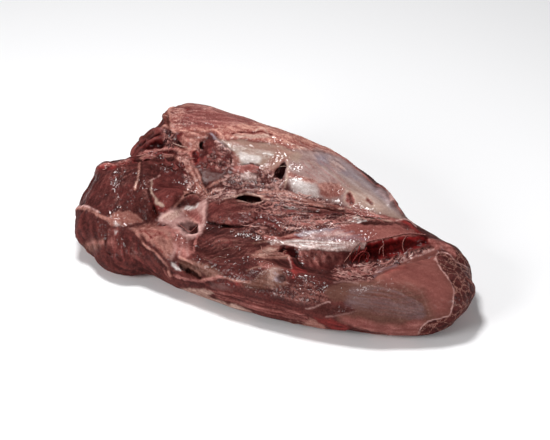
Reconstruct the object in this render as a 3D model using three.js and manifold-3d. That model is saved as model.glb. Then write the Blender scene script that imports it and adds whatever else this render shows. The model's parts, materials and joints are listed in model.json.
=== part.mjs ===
// A boneless beef shoulder clod: one thick slab of muscles still held together by their seams.
// It lies on its fat side, with the side that faced the blade bone up. Millimetres, +Z up,
// +X to the rounded heel end, -Y to the low front edge, origin under the middle of the slab.

import * as THREE from 'three';
import Module from 'manifold-3d';
import { ImprovedNoise } from 'three/addons/math/ImprovedNoise.js';
import { mergeVertices } from 'three/addons/utils/BufferGeometryUtils.js';

// Driving dimensions
const LENGTH = 465;
const WIDTH = 270;
const HEIGHT = 130;

// The surface is made of facets of this width, and a trimmed muscle's cut edge is this round.
const FACET = 8.8;
const KNIFE_EDGE = 6;

// The meat sags on the table, so its lower edge turns in over this width before the flat base.
const BASE_EDGE = 18;
const BASE_SINK = 4;

// Lumps in the surface: how far they stand out, and how far apart along and across the grain.
const LUMP_HEIGHT = 2.6;
const LUMP_ALONG = 46;
const LUMP_ACROSS = 24;

// Each muscle is a swollen spindle: its middle, its half sizes, how far it turns about the vertical
// and how far it dips along its length, in degrees, and how softly it runs into its neighbours.
// A knife says where its end was trimmed flat.
const MUSCLES = [
  { name: 'slab underneath', at: [-8, -5, 22], half: [205, 110, 36], turn: -2, dip: 0, seam: 16 },
  { name: 'long head', at: [-104, 50, 46], half: [216, 74, 82], turn: 0, dip: 2, seam: 10,
    knife: { at: [-167, 60, 110], facing: [-1, 0.1, 0.12] } },
  { name: 'top corner', at: [-138, 66, 82], half: [46, 42, 43], turn: 0, dip: 0, seam: 14,
    knife: { at: [-167, 60, 110], facing: [-1, 0.1, 0.12] } },
  { name: 'stump at the back corner', at: [-166, 38, 66], half: [33, 36, 45], turn: 10, dip: 0, seam: 8 },
  { name: 'left end', at: [-176, -26, 42], half: [66, 54, 54], turn: 0, dip: 0, seam: 10,
    knife: { at: [-228, -39, 60], facing: [-0.9, -0.07, 0.43] } },
  { name: 'lower left end', at: [-180, -66, 33], half: [43, 36, 36], turn: 0, dip: 0, seam: 10 },
  { name: 'lower left corner', at: [-156, -93, 24], half: [36, 28, 26], turn: 0, dip: 0, seam: 8 },
  { name: 'round eye', at: [-120, -46, 48], half: [32, 28, 38], turn: 20, dip: 0, seam: 6 },
  { name: 'front band', at: [-5, -99, 33], half: [165, 37, 38], turn: -6, dip: 0, seam: 12 },
  { name: 'torn band', at: [-4, -24, 52], half: [104, 36, 36], turn: 2, dip: 0, seam: 14 },
  { name: 'middle belly', at: [-30, -52, 42], half: [90, 36, 38], turn: -14, dip: 2, seam: 10 },
  { name: 'tail of the long head', at: [84, 26, 57], half: [54, 30, 33], turn: -16, dip: 0, seam: 12 },
  { name: 'covered strap', at: [92, -16, 40], half: [98, 52, 40], turn: 14, dip: 2, seam: 8,
    knife: { at: [118, -44, 60], facing: [0.45, -0.89, 0] } },
  { name: 'heel', at: [158, -77, 31], half: [88, 43, 38], turn: 22, dip: 0, seam: 8,
    knife: { at: [220, -50, 14], facing: [0.84, -0.1, -0.5] } },
  { name: 'heel tip', at: [186, -56, 28], half: [42, 32, 32], turn: 10, dip: 0, seam: 10,
    knife: { at: [220, -50, 14], facing: [0.84, -0.1, -0.5] } },
  { name: 'heel back', at: [172, -20, 30], half: [50, 44, 40], turn: 0, dip: 0, seam: 8 },
];

// Where a seam was opened by the butcher, the meat is hollowed by a spindle of these half sizes.
const OPENED_SEAMS = [
  { name: 'trench before the heel', at: [143, -44, 70], half: [62, 14, 22], turn: 34, dip: 0, seam: 5 },
  { name: 'floor of the trench', at: [126, -72, 70], half: [42, 20, 18], turn: 50, dip: 0, seam: 6 },
  { name: 'recess under the tendon', at: [60, -93, 63], half: [50, 11, 12], turn: 4, dip: 0, seam: 5 },
  { name: 'furrow below the long head', at: [-66, -24, 88], half: [60, 9, 9], turn: -6, dip: 3, seam: 6 },
  { name: 'furrow by the round eye', at: [-95, -62, 76], half: [12, 30, 12], turn: 20, dip: 0, seam: 6 },
  { name: 'hollow behind the left end', at: [-150, 6, 100], half: [30, 13, 12], turn: 16, dip: 0, seam: 6 },
  { name: 'furrow of the left end', at: [-178, -56, 90], half: [7, 34, 9], turn: 12, dip: 0, seam: 5 },
  { name: 'step above the front band', at: [-70, -104, 66], half: [60, 10, 8], turn: -8, dip: 0, seam: 6 },
];

// Narrow lens-shaped cuts left by the knife's point. Each has its middle, its half length, half
// width and depth, and its turn and lean in degrees.
const KNIFE_CUTS = [
  { name: 'eye below the long head', at: [-38, -20, 80], half: [15, 5, 15], turn: -2, lean: -25 },
  { name: 'pit by the long head', at: [-106, 9, 114], half: [9, 5, 15], turn: 30, lean: 40 },
  { name: 'pit by the stump', at: [-138, 12, 116], half: [7, 5, 15], turn: 0, lean: 40 },
  { name: 'deep slit in front', at: [-64, -130, 46], half: [19, 5, 13], turn: -14, lean: 70 },
];
const LENS_SIDES = 12;

// The hole torn through the sheet of the long head has three corners at its mouth, counted round to
// the left from the top one, and narrows to a foot. It is cut from this much further out.
const TORN_HOLE = { mouth: [[-12, 25, 110], [-19, 5, 98], [-5, 5, 97]], foot: [-14, 22, 82] };
const PAST_MOUTH = 1.3;

const radians = THREE.MathUtils.degToRad;

// A spindle with its directions worked out, ready to measure from.
function spindle({ at, half, turn, dip, seam, knife }) {
  const ready = {
    middle: new THREE.Vector3(...at),
    size: new THREE.Vector3(...half),
    least: Math.min(...half),
    unturn: new THREE.Quaternion()
      .setFromEuler(new THREE.Euler(0, radians(dip), radians(turn), 'ZYX'))
      .invert(),
    seam,
  };
  if (knife) {
    ready.face = new THREE.Plane().setFromNormalAndCoplanarPoint(
      new THREE.Vector3(...knife.facing).normalize(),
      new THREE.Vector3(...knife.at),
    );
  }
  return ready;
}

// How far a point lies outside a spindle; negative inside it.
function outsideSpindle(point, { middle, size, least, unturn }) {
  const local = point.clone().sub(middle).applyQuaternion(unturn).divide(size);
  const reach = local.length();
  const slope = local.divide(size).length();
  return slope > 0 ? (reach * (reach - 1)) / slope : -least;
}

// The nearer of two surfaces, run together over a seam of the given width.
function join(a, b, seam) {
  const overlap = Math.max(seam - Math.abs(a - b), 0) / seam;
  return Math.min(a, b) - (overlap * overlap * seam) / 4;
}

// What two shapes share, with the edge eased over the given width.
function cut(a, b, ease) {
  return -join(-a, -b, ease);
}

// The surface is found from a spine inside the slab: a flat patch these shares of its length and
// width, round this middle. The search starts this much further out than the lattice, and a point
// this near the surface is on it.
const SPINE = { along: 0.62, across: 0.25, middle: new THREE.Vector3(0, -6, 36) };
const FURTHER_OUT = 1.6;
const NEAR = 0.02;

// Corners closer together than this are one corner.
const WELD = 0.001;

const muscles = MUSCLES.map(spindle);
const openedSeams = OPENED_SEAMS.map(spindle);
const noise = new ImprovedNoise();

function lumps({ x, y, z }) {
  const coarse = noise.noise(x / LUMP_ALONG, y / LUMP_ACROSS, z / LUMP_ACROSS);
  const fine = noise.noise((2 * x) / LUMP_ALONG, (2 * y) / LUMP_ACROSS, (2 * z) / LUMP_ACROSS);
  return LUMP_HEIGHT * (coarse + fine / 2);
}

// How far a point lies outside the whole slab; negative in the meat.
function outsideMeat(point) {
  let far = Infinity;
  for (const muscle of muscles) {
    let own = outsideSpindle(point, muscle);
    if (muscle.face) own = cut(own, muscle.face.distanceToPoint(point), KNIFE_EDGE);
    far = far === Infinity ? own : join(far, own, muscle.seam);
  }
  for (const seam of openedSeams) far = cut(far, -outsideSpindle(point, seam), seam.seam);
  return cut(far - lumps(point), -point.z - BASE_SINK, BASE_EDGE);
}

// The direction straight out of the meat at a point.
function outward(point) {
  const probe = 1;
  const slope = new THREE.Vector3();
  for (const axis of ['x', 'y', 'z']) {
    const ahead = point.clone();
    const behind = point.clone();
    ahead[axis] += probe;
    behind[axis] -= probe;
    slope[axis] = outsideMeat(ahead) - outsideMeat(behind);
  }
  return slope.normalize();
}

// Draws a point in from well outside, towards the spine of the slab, until it meets the meat.
function meet(start) {
  const spine = new THREE.Vector3(start.x * SPINE.along, start.y * SPINE.across, 0).add(SPINE.middle);
  const inward = start.clone().sub(spine);
  const place = new THREE.Vector3();
  let share = FURTHER_OUT;
  let gap = Infinity;
  while (gap > NEAR && share > 0) {
    place.copy(spine).addScaledVector(inward, share);
    gap = outsideMeat(place);
    share -= Math.max(gap / 2, NEAR) / inward.length();
  }
  return place;
}

// For each corner of a mesh, the corners that share an edge with it.
function neighbours(geometry) {
  const { index } = geometry;
  const rings = Array.from({ length: geometry.attributes.position.count }, () => new Set());
  for (let i = 0; i < index.count; i += 3) {
    const corners = [index.getX(i), index.getX(i + 1), index.getX(i + 2)];
    for (const a of corners) {
      for (const b of corners) {
        if (a !== b) rings[a].add(b);
      }
    }
  }
  return rings;
}

// How far each corner slides in one pass, as a share of the way, and how many passes there are.
const SLIDE = 0.6;
const PASSES = 12;

// Evens out the facets: each corner slides towards the middle of its neighbours, then goes back
// out or in to the surface of the meat.
function evenOut(places, rings) {
  const before = places.map((place) => place.clone());
  places.forEach((place, i) => {
    const middle = new THREE.Vector3();
    for (const near of rings[i]) middle.add(before[near]);
    const slide = middle.divideScalar(rings[i].size).sub(before[i]);
    const out = outward(place);
    slide.addScaledVector(out, -slide.dot(out));
    place.addScaledVector(slide, SLIDE);
    place.addScaledVector(outward(place), -outsideMeat(place));
  });
}

// The lattice starts as a box that reaches this far under the table and this far to the front.
const LATTICE_DROP = 20;
const LATTICE_SHIFT = 10;

// No corner is left nearer the table than this, so that the cut there leaves no slivers.
const BASE_CLEAR = 1;

// A closed lattice of even facets, wrapped on the meat.
function wrappedLattice() {
  const depth = HEIGHT + 2 * LATTICE_DROP;
  const box = new THREE.BoxGeometry(
    LENGTH, WIDTH, depth,
    Math.round(LENGTH / FACET), Math.round(WIDTH / FACET), Math.round(depth / FACET),
  );
  box.translate(0, -LATTICE_SHIFT, HEIGHT / 2 - LATTICE_DROP);
  box.deleteAttribute('normal');
  box.deleteAttribute('uv');
  const geometry = mergeVertices(box, WELD);
  const { position } = geometry.attributes;
  const places = [];
  for (let i = 0; i < position.count; i += 1) {
    places.push(meet(new THREE.Vector3().fromBufferAttribute(position, i)));
  }
  const rings = neighbours(geometry);
  for (let pass = 0; pass < PASSES; pass += 1) evenOut(places, rings);
  places.forEach(({ x, y, z }, i) => {
    const clear = Math.abs(z) < BASE_CLEAR ? -BASE_CLEAR : z;
    position.setXYZ(i, x, y, clear);
  });
  return geometry;
}

// A lens, its length along X and its depth down Z, turned and leant into the meat.
function knifeCut({ at, half, turn, lean }) {
  return new THREE.SphereGeometry(1, LENS_SIDES, LENS_SIDES / 2)
    .scale(...half)
    .rotateX(radians(-lean))
    .rotateZ(radians(turn))
    .translate(...at);
}

// A wedge of three sides, from over the corners of its mouth down to its foot.
function wedge({ mouth, foot }) {
  const tip = new THREE.Vector3(...foot);
  const rim = mouth.map((corner) => new THREE.Vector3(...corner).sub(tip)
    .multiplyScalar(PAST_MOUTH)
    .add(tip));
  const geometry = new THREE.BufferGeometry().setFromPoints([...rim, tip]);
  geometry.setIndex([0, 1, 2, 1, 0, 3, 2, 1, 3, 0, 2, 3]);
  return geometry;
}

const manifold = await Module();
manifold.setup();

// A closed mesh made ready to be joined or cut.
function solid(geometry) {
  const bare = geometry.clone();
  bare.deleteAttribute('normal');
  bare.deleteAttribute('uv');
  const merged = mergeVertices(bare, WELD);
  return new manifold.Manifold(new manifold.Mesh({
    numProp: 3,
    vertProperties: new Float32Array(merged.attributes.position.array),
    triVerts: new Uint32Array(merged.index.array),
  }));
}

// The meat above the table, with the knife's cuts taken out of it.
function slab() {
  const room = 2 * LENGTH;
  const aboveTable = new THREE.BoxGeometry(room, room, room).translate(0, 0, room / 2);
  let meat = solid(wrappedLattice()).intersect(solid(aboveTable));
  for (const each of KNIFE_CUTS) meat = meat.subtract(solid(knifeCut(each)));
  meat = meat.subtract(solid(wedge(TORN_HOLE)));
  const { vertProperties, triVerts } = meat.getMesh();
  const geometry = new THREE.BufferGeometry();
  geometry.setAttribute('position', new THREE.BufferAttribute(vertProperties, 3));
  geometry.setIndex(new THREE.BufferAttribute(triVerts, 1));
  geometry.computeVertexNormals();
  return geometry;
}

const beefClod = new THREE.Group();
const meat = new THREE.Mesh(
  slab(),
  new THREE.MeshStandardMaterial({ color: 0x6e3835, roughness: 0.4, metalness: 0 }),
);
meat.name = 'beef_clod';
meat.geometry.computeBoundingBox();
const middle = meat.geometry.boundingBox.getCenter(new THREE.Vector3());
meat.position.set(-middle.x, -middle.y, 0);
beefClod.add(meat);

export default beefClod;
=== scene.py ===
"""A raw boneless beef shoulder clod on a pale floor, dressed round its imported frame."""
import json
from itertools import product
from math import cos, pi, radians, sin

import bpy
import numpy as np
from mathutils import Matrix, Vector
from mathutils.bvhtree import BVHTree

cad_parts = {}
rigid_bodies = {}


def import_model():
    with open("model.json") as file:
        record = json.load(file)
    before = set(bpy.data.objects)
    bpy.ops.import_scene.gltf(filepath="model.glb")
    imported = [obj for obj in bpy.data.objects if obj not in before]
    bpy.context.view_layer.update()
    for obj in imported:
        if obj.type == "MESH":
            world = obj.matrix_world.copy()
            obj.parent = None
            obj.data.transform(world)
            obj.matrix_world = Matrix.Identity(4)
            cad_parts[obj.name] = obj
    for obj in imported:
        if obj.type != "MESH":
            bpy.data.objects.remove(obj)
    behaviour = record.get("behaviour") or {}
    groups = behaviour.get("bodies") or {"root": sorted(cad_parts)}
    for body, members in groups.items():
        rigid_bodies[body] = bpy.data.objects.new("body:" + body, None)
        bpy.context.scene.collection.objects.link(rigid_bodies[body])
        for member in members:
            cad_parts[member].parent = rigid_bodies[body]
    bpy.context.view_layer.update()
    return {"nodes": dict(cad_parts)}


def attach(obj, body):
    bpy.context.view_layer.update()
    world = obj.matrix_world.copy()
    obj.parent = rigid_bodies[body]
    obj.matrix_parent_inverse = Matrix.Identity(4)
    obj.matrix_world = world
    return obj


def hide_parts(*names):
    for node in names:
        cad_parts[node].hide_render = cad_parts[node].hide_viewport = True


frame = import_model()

# Camera. It stands where the photographer did, in front of the low edge of the meat, a little to
# its right and well above it, and looks through a long lens.
PICTURE = (550, 440)
AZIMUTH = radians(22)
ELEVATION = radians(32)
DISTANCE = 2.4
FOCUS = 2160
SENSOR = 36
AIM = Vector((-0.0110, 0.0074, 0.046))

to_camera = Vector((sin(AZIMUTH) * cos(ELEVATION), -cos(AZIMUTH) * cos(ELEVATION), sin(ELEVATION)))
to_right = Vector((cos(AZIMUTH), sin(AZIMUTH), 0))
to_top = to_camera.cross(to_right)

camera = bpy.data.objects.new("camera", bpy.data.cameras.new("camera"))
bpy.context.scene.collection.objects.link(camera)
camera.location = AIM + DISTANCE * to_camera
camera.rotation_euler = to_camera.to_track_quat("Z", "Y").to_euler()
camera.data.sensor_width = SENSOR
camera.data.lens = SENSOR * FOCUS / PICTURE[0]
bpy.context.scene.camera = camera


def in_photo(points):
    """Where points of the model, in metres, show in the photograph, in its pixels."""
    away = points - np.array(AIM)
    depth = DISTANCE - away @ np.array(to_camera)
    across = PICTURE[0] / 2 + FOCUS * (away @ np.array(to_right)) / depth
    down = PICTURE[1] / 2 - FOCUS * (away @ np.array(to_top)) / depth
    return np.stack([across, down], axis=1)


def sight(pixel):
    """The direction from the camera through a pixel of the photograph."""
    across = (pixel[0] - PICTURE[0] / 2) / FOCUS
    up = (PICTURE[1] / 2 - pixel[1]) / FOCUS
    return (to_right * across + to_top * up - to_camera).normalized()


# Light. A small soft box hangs straight over the meat and makes its wet glints, a broad one fills
# from the front left, a narrow one from the right, and pale studio walls fill the rest.
WALL_WHITE = "#fbfbfc"
WALL_LIGHT = 0.22


def soft_box(name, place, size, power):
    """A lamp at a place, so wide and so high in metres, turned to the meat, with its power in watts."""
    lamp = bpy.data.objects.new(name, bpy.data.lights.new(name, "AREA"))
    bpy.context.scene.collection.objects.link(lamp)
    lamp.location = place
    lamp.rotation_euler = (Vector(place) - AIM).to_track_quat("Z", "Y").to_euler()
    lamp.data.shape = "RECTANGLE"
    lamp.data.size, lamp.data.size_y = size
    lamp.data.energy = power


SOFT_BOXES = {
    "over_box": ((-0.25, -0.05, 1.55), (0.34, 0.34), 20),
    "front_box": ((-0.7, -1.5, 0.9), (0.8, 0.6), 18),
    "right_box": ((1.4, -0.4, 0.7), (0.3, 0.6), 4),
}
for name, (place, size, power) in SOFT_BOXES.items():
    soft_box(name, place, size, power)


def linear(text):
    """The linear colour of an sRGB hex value such as #5c3331."""
    parts = np.array([int(text[i:i + 2], 16) / 255 for i in (1, 3, 5)])
    return np.where(parts <= 0.04045, parts / 12.92, ((parts + 0.055) / 1.055) ** 2.4)


def rgba(text):
    return (*linear(text), 1)


world = bpy.data.worlds.new("studio_walls")
world.use_nodes = True
walls = world.node_tree.nodes["Background"]
walls.inputs["Color"].default_value = rgba(WALL_WHITE)
walls.inputs["Strength"].default_value = WALL_LIGHT
bpy.context.scene.world = world
bpy.context.scene.view_settings.view_transform = "Standard"


def node(tree, kind, values=None, links=None, **settings):
    """Adds a node with its settings, its input values and what is linked to its inputs."""
    made = tree.nodes.new("ShaderNode" + kind)
    for name, value in settings.items():
        setattr(made, name, value)
    for name, value in (values or {}).items():
        made.inputs[name].default_value = value
    for name, source in (links or {}).items():
        tree.links.new(source, made.inputs[name])
    return made


def new_material(name):
    made = bpy.data.materials.new(name)
    made.use_nodes = True
    made.node_tree.nodes.remove(made.node_tree.nodes["Principled BSDF"])
    return made


# Floor. A plain sheet of matt white board under the meat, much larger than it.
FLOOR_SIZE = 12.0
BOARD_WHITE = "#f4f4f5"
BOARD_ROUGHNESS = 0.9

bpy.ops.object.select_all(action="DESELECT")
bpy.ops.mesh.primitive_plane_add(size=FLOOR_SIZE, location=(0, 0, 0))
floor = bpy.context.object
floor.name = "floor"
white_board = new_material("matt white board")
tree = white_board.node_tree
paint = node(tree, "BsdfPrincipled", {"Base Color": rgba(BOARD_WHITE), "Roughness": BOARD_ROUGHNESS})
tree.links.new(paint.outputs[0], tree.nodes["Material Output"].inputs["Surface"])
floor.data.materials.append(white_board)

# Tissues. The clod is raw muscle, whose seams a boning knife opened, so fat, silverskin and torn
# connective tissue lie on it. Each tissue has the colour of its hollows and that of its crests,
# and how torn, how wet and how fibrous it is.
TISSUES = {
    "lean": ("#381a19", "#592c29", 0.10, 0.40, 0.80),
    "dull lean": ("#3d1c18", "#62342d", 0.15, 0.12, 0.80),
    # A darker lean, and painted shade where it is laid in seams, grooves, creases, holes and under edges.
    "dark lean": ("#371715", "#502b28", 0.15, 0.30, 0.80),
    "red lean": ("#461e1d", "#683431", 0.06, 0.30, 0.70),
    "beaded lean": ("#3c1c1b", "#744943", 0.60, 0.58, 0.50),
    "torn lean": ("#381718", "#96645d", 1.00, 0.50, 0.80),
    "torn pink": ("#572a29", "#b58d85", 1.00, 0.80, 0.90),
    "bright red": ("#50191a", "#83322f", 0.15, 0.25, 0.60),
    "wall red": ("#310707", "#661717", 0.10, 0.20, 0.60),
    # Painted shade: a darkened red laid in clefts, cavities and between the folds of the trench wall.
    "dark red": ("#200404", "#400e0e", 0.15, 0.12, 0.50),
    # deep is painted shade: a near-black red laid in slits, pits, holes and clefts, where shade falls.
    "deep": ("#1f0504", "#35100c", 0.05, 0.05, 0.50),
    "pink": ("#7a4340", "#9d6b64", 0.15, 0.35, 1.00),
    "mottled fat": ("#854842", "#bd8c7e", 0.50, 0.70, 0.40),
    "torn fat": ("#76413a", "#ab7d72", 0.40, 0.60, 0.35),
    "blush": ("#77453e", "#a17469", 0.15, 0.45, 0.45),
    "fat": ("#977267", "#be9f93", 0.25, 0.40, 0.80),
    "dull fat": ("#5a372e", "#7b584f", 0.15, 0.30, 0.90),
    "pearl": ("#866a5e", "#a1887c", 0.04, 0.45, 0.30),
    # pale is whitish tissue, and also a painted highlight where it is laid as glints and highlights.
    "pale": ("#b1a49f", "#dad2d0", 0.20, 0.90, 0.80),
    "dome": ("#80625e", "#9c8580", 0.04, 0.35, 0.40),
    "blue grey": ("#71636a", "#91858e", 0.03, 0.30, 0.30),
    "blue": ("#573a38", "#70524f", 0.03, 0.40, 0.30),
    "silver": ("#4e2f29", "#68473e", 0.02, 0.12, 0.35),
    "heel pink": ("#6b3a36", "#855049", 0.02, 0.18, 0.30),
    "membrane": ("#723a36", "#a36b64", 0.08, 0.45, 0.80),
    "star": ("#9d706a", "#bf9b95", 0.10, 0.50, 0.30),
    "tendon": ("#8c6f69", "#c9b2ad", 0.20, 0.80, 1.00),
}

work = []


def patch(name, tissue, soft, cover, *corners):
    """A tissue that lies inside an outline drawn on the photograph, in its pixels."""
    work.append(("patch", name, tissue, soft, cover, corners))


def line(name, tissue, half, rise, *corners):
    """A thin line of tissue, so wide each way and so high, or if negative so deep, in pixels."""
    work.append(("line", name, tissue, half, rise, corners))


def fold(name, tissue, half, rise, *corners):
    """A fold that is grown from the meat: half its width and how far its middle stands out."""
    work.append(("fold", name, tissue, half, rise, corners))


def slit(name, half, depth, *corners):
    """An opening that a knife or a thumb made: half its width and its depth. Its walls are later darkened
    with painted shade.
    """
    work.append(("slit", name, "deep", half, depth, corners))


def streak(name, tissue, half, cover, *corners):
    """A soft smear of tissue along a line, with no height."""
    work.append(("streak", name, tissue, half, cover, corners))


def string(name, tissue, half, rise, *corners):
    """A free strand of gristle or muscle, thinner than a fold, laid over the rest."""
    work.append(("string", name, tissue, half, rise, corners))


def dent(name, tissue, soft, depth, *corners):
    """A sunk place inside an outline, so deep in pixels, with its own tissue."""
    work.append(("dent", name, tissue, soft, depth, corners))


def swelling(name, soft, rise, *corners):
    """A place inside an outline that stands out by some pixels, or if negative lies back."""
    work.append(("swelling", name, "lean", soft, rise, corners))


def shreds(name, tissue, number, size, lie, *corners):
    """Torn shreds inside an outline. Their size is length, half width and rise, in pixels, and
    their lie is their angle on the photograph and how far it strays, in degrees."""
    work.append(("shreds", name, tissue, (number, *size), lie, corners))


WOBBLE = 1.1
UNEVEN = 0.35


def fan(draw, name, tissue, half, rise, count, first, last):
    """Several strokes alike, spread from the first line of corners to the last. Waves of odd lengths
    shift their corners and change their widths, so that no two come out the same."""
    for number, share in enumerate(np.linspace(0, 1, count)):
        corners = []
        for place, (a, b) in enumerate(zip(first, last)):
            shift = np.array((sin(7.3 * number + 2.1 * place), cos(4.7 * number + 3.3 * place)))
            corners.append(tuple((1 - share) * np.array(a) + share * np.array(b) + WOBBLE * shift))
        draw(name, tissue, half * (1 + UNEVEN * sin(5.1 * number)), rise, *corners)


# Left end. The blade end of the clod, bare lean cut clean across its fibres, with one strip of
# fat that runs down it and a thin seam of beads where two muscles meet.
fan(line, "streaks", "red lean", 1.3, -0.2, 4, [(124, 168), (108, 182), (92, 196)],
      [(132, 196), (118, 206), (102, 212)])
patch("beads under the rim", "beaded lean", 2, 0.6, (119, 170), (128, 169), (132, 176), (128, 184),
      (121, 187), (118, 180))
patch("beads of the seam", "beaded lean", 2, 0.7, (143, 181), (151, 181), (150, 200), (147, 208),
      (142, 198))
patch("red round the pit", "red lean", 2, 0.6, (113, 188), (124, 187), (127, 197), (118, 200))
slit("pit of the left end", 1.3, 3, (121, 188), (122, 193), (119, 198))
line("beads below the pit", "beaded lean", 1.8, 0.2, (116, 196), (117, 202), (120, 208))
line("shade of the strip", "dark lean", 1.0, -0.6, (141, 162), (141.5, 174), (140, 184), (138, 191))
fold("strip of fat", "blush", 1.0, 0.1, (140.5, 161), (139, 170), (137, 180), (135, 190))
line("pale end of the strip", "fat", 0.7, 0.2, (139, 170), (137.5, 180), (135.5, 188))
line("seam of the left end", "dark lean", 0.8, -0.6, (119, 168), (120, 178), (121, 187))
line("lower seam", "dark lean", 0.8, -0.6, (119, 199), (118, 208))
streak("dark by the star", "dark lean", 2.0, 0.6, (146, 214), (150, 218), (158, 220))
streak("red by the crescent", "bright red", 2.0, 0.45, (150, 200), (154, 206), (160, 209))
fold("upper corner", "lean", 2.2, 0.2, (95, 173), (99, 168.5), (106, 167))
fold("second lump of the upper edge", "red lean", 1.8, 0.4, (108, 165.5), (113, 164), (118, 163.5))
fold("third lump of the upper edge", "pink", 1.4, 0.5, (120, 162.5), (125, 161), (129, 160.5))
swelling("corner of the left end", 3, 2.5, (90, 172), (93, 165), (102, 162), (110, 164), (104, 171),
      (96, 176))
fold("step of the lower left", "lean", 2.6, 0.4, (86, 246), (88, 251), (92, 254))
fold("left edge", "lean", 4.0, -0.8, (79, 222), (79, 232), (82, 242))
swelling("flat of the upper left", 5, -3.0, (74, 196), (80, 180), (88, 170), (96, 172), (90, 186),
      (82, 202), (74, 206))
swelling("foot of the left end", 4, 2.5, (72, 208), (82, 208), (84, 232), (80, 250), (72, 236))
patch("dry side of the left end", "lean", 3, 0.6, (72, 236), (76, 204), (84, 180), (96, 168), (99, 172),
      (90, 186), (82, 206), (80, 236))
line("tuft on the outline", "pink", 0.9, 0.5, (102, 167.5), (110, 165), (115, 165.5), (121, 162.5),
      (130, 161))
shreds("tuft", "pink", 8, (5, 0.6, 0.5), (12, 25), (101, 167), (110, 164.5), (121, 161.5), (131, 160),
      (131, 163), (114, 168), (103, 170))
line("red under the tuft", "bright red", 1.0, -0.4, (101, 169.5), (112, 168), (119, 165), (128, 163.5))
streak("red of the upper corner", "bright red", 2.0, 0.5, (96, 171), (104, 168), (112, 167))
fan(streak, "pale fibres of the left end", "membrane", 0.6, 0.2, 7, [(98, 172), (90, 186), (82, 202)],
      [(128, 166), (124, 186), (118, 208)])

# Lower left. A pale seam of fat crosses the left end, and the muscles below it roll down to the
# table in a soft fold, with a smear of fat over their corner.
fold("seam of fat", "blush", 1.6, 0.1, (79, 207), (90, 211), (100, 216), (112, 220), (126, 220), (142, 221))
fold("flap of the seam", "blush", 1.0, 0.7, (76.5, 212), (78, 208.5), (83, 207.5), (90, 209.5))
patch("broad end of the seam", "blush", 1.5, 0.95, (113, 214), (120, 211), (130, 212), (137, 214),
      (140, 219), (144, 221), (134, 224), (124, 226), (112, 225), (106, 221))
line("upper lip of the seam", "star", 1.0, 0.6, (80, 206.5), (86, 206), (92, 209), (98, 212))
slit("pocket under the lip", 0.9, 3, (85, 207.5), (89, 209), (92, 211))
patch("glint of the seam", "pale", 1.2, 0.4, (113, 221), (117, 222), (119, 226), (114, 226))
patch("haze of fat", "membrane", 3, 0.5, (107, 228), (117, 228), (119, 238), (115, 249), (107, 244))
# Painted highlight: a small glint on the haze of fat.
patch("wet spot of the haze", "pale", 1, 0.3, (115, 231), (118, 231), (118, 235), (115, 234))
patch("grey fold", "dull fat", 3, 0.6, (84, 244), (92, 240), (105, 240), (106, 244), (98, 247), (90, 253),
      (86, 250))
streak("edge of the grey fold", "membrane", 1.8, 0.5, (88, 244), (96, 242), (104, 243))
fold("ring fold", "lean", 3.2, 0.2, (104, 252), (112, 257), (120, 264), (130, 268), (141, 267))
slit("crease of the ring fold", 1.3, 3, (101, 251), (107, 252.5), (113, 257), (119, 263))
patch("wet rows of the lean", "beaded lean", 3, 0.6, (131, 243), (142, 240), (145, 256), (137, 260),
      (131, 254))
fan(line, "fibres of the corner", "red lean", 1.0, 0.35, 5, [(118, 232), (114, 246), (116, 258)],
      [(142, 246), (146, 258), (154, 270)])
line("seam below the left tip", "dark lean", 1.0, -0.8, (107, 228), (106, 240), (104, 250))
patch("smear of fat", "blush", 2.5, 0.68, (129, 229), (140, 226), (150, 223.5), (160, 226), (168, 230),
      (174, 240), (174, 252), (171, 260), (164, 256), (158, 249), (150, 242), (144, 238), (137, 232))
patch("thick of the smear", "torn fat", 2, 0.5, (132, 228), (146, 225), (158, 228), (166, 236), (158, 240),
      (146, 235))
line("red between its folds", "bright red", 0.8, -0.6, (144, 231), (150, 236), (156, 243), (162, 252))
for tissue, half, *corners in (("torn fat", 1.5, (165, 245), (168, 251), (169, 257)),
                               ("blush", 1.4, (153, 239), (158, 244), (162, 250)),
                               ("blush", 1.7, (160, 231), (165, 235), (168, 241)),
                               ("torn fat", 1.6, (148, 227), (154, 230), (157, 235)),
                               ("blush", 1.8, (139, 230), (144, 234), (148, 239))):
    fold("soft fold of the smear", tissue, half, -0.3, *corners)
line("red line through it", "membrane", 0.8, -0.5, (148, 241), (152, 237), (158, 234), (163, 232))
line("edge of the smear", "blush", 1.1, 0.6, (137, 233), (141, 240), (147, 247), (154, 252), (161, 259),
      (167, 267), (171, 276))
line("shade below the smear", "dark lean", 1.2, -0.5, (141, 245), (149, 252), (157, 260), (164, 270))
streak("glint of the lower skin", "membrane", 0.8, 0.4, (163, 269), (166, 274), (170, 279))

# Stump. The cut end of the muscle behind, dark and hollow, with a torn edge.
patch("lean of the stump", "red lean", 2, 0.9, (129, 160), (131, 152), (138, 143), (142, 146), (139, 158))
patch("red edge of the stump", "red lean", 2.5, 0.8, (140, 142), (148, 136), (160, 134), (164, 139),
      (154, 141), (144, 145))
patch("hollow of the stump", "wall red", 2.5, 0.95, (142, 148), (148, 142), (156, 139.5), (163, 141),
      (162, 147), (156, 151), (148, 151.5))
patch("upper lobe", "red lean", 2.0, 0.7, (151, 131), (157, 126.5), (164, 127), (164, 133), (156, 136))
fold("upper lobe of the stump", "red lean", 4.5, 0.3, (150, 134), (156, 130), (164, 130))
fold("left lobe of the stump", "red lean", 3.6, 0.8, (133, 156), (136, 149), (140, 143))
fold("lobe under the cut face", "red lean", 3.5, 0.3, (158, 128), (163, 122), (166, 117))
fold("lobe over the hollow", "red lean", 2.4, 0.2, (145, 143), (151, 139.5), (158, 138))
fold("tongue in the hollow", "wall red", 1.8, 0.0, (149, 150), (154, 148), (159, 147))
line("cleft of the stump", "dark red", 0.9, -1.2, (141, 146), (146, 141), (153, 136.5), (160, 134.5))
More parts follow.
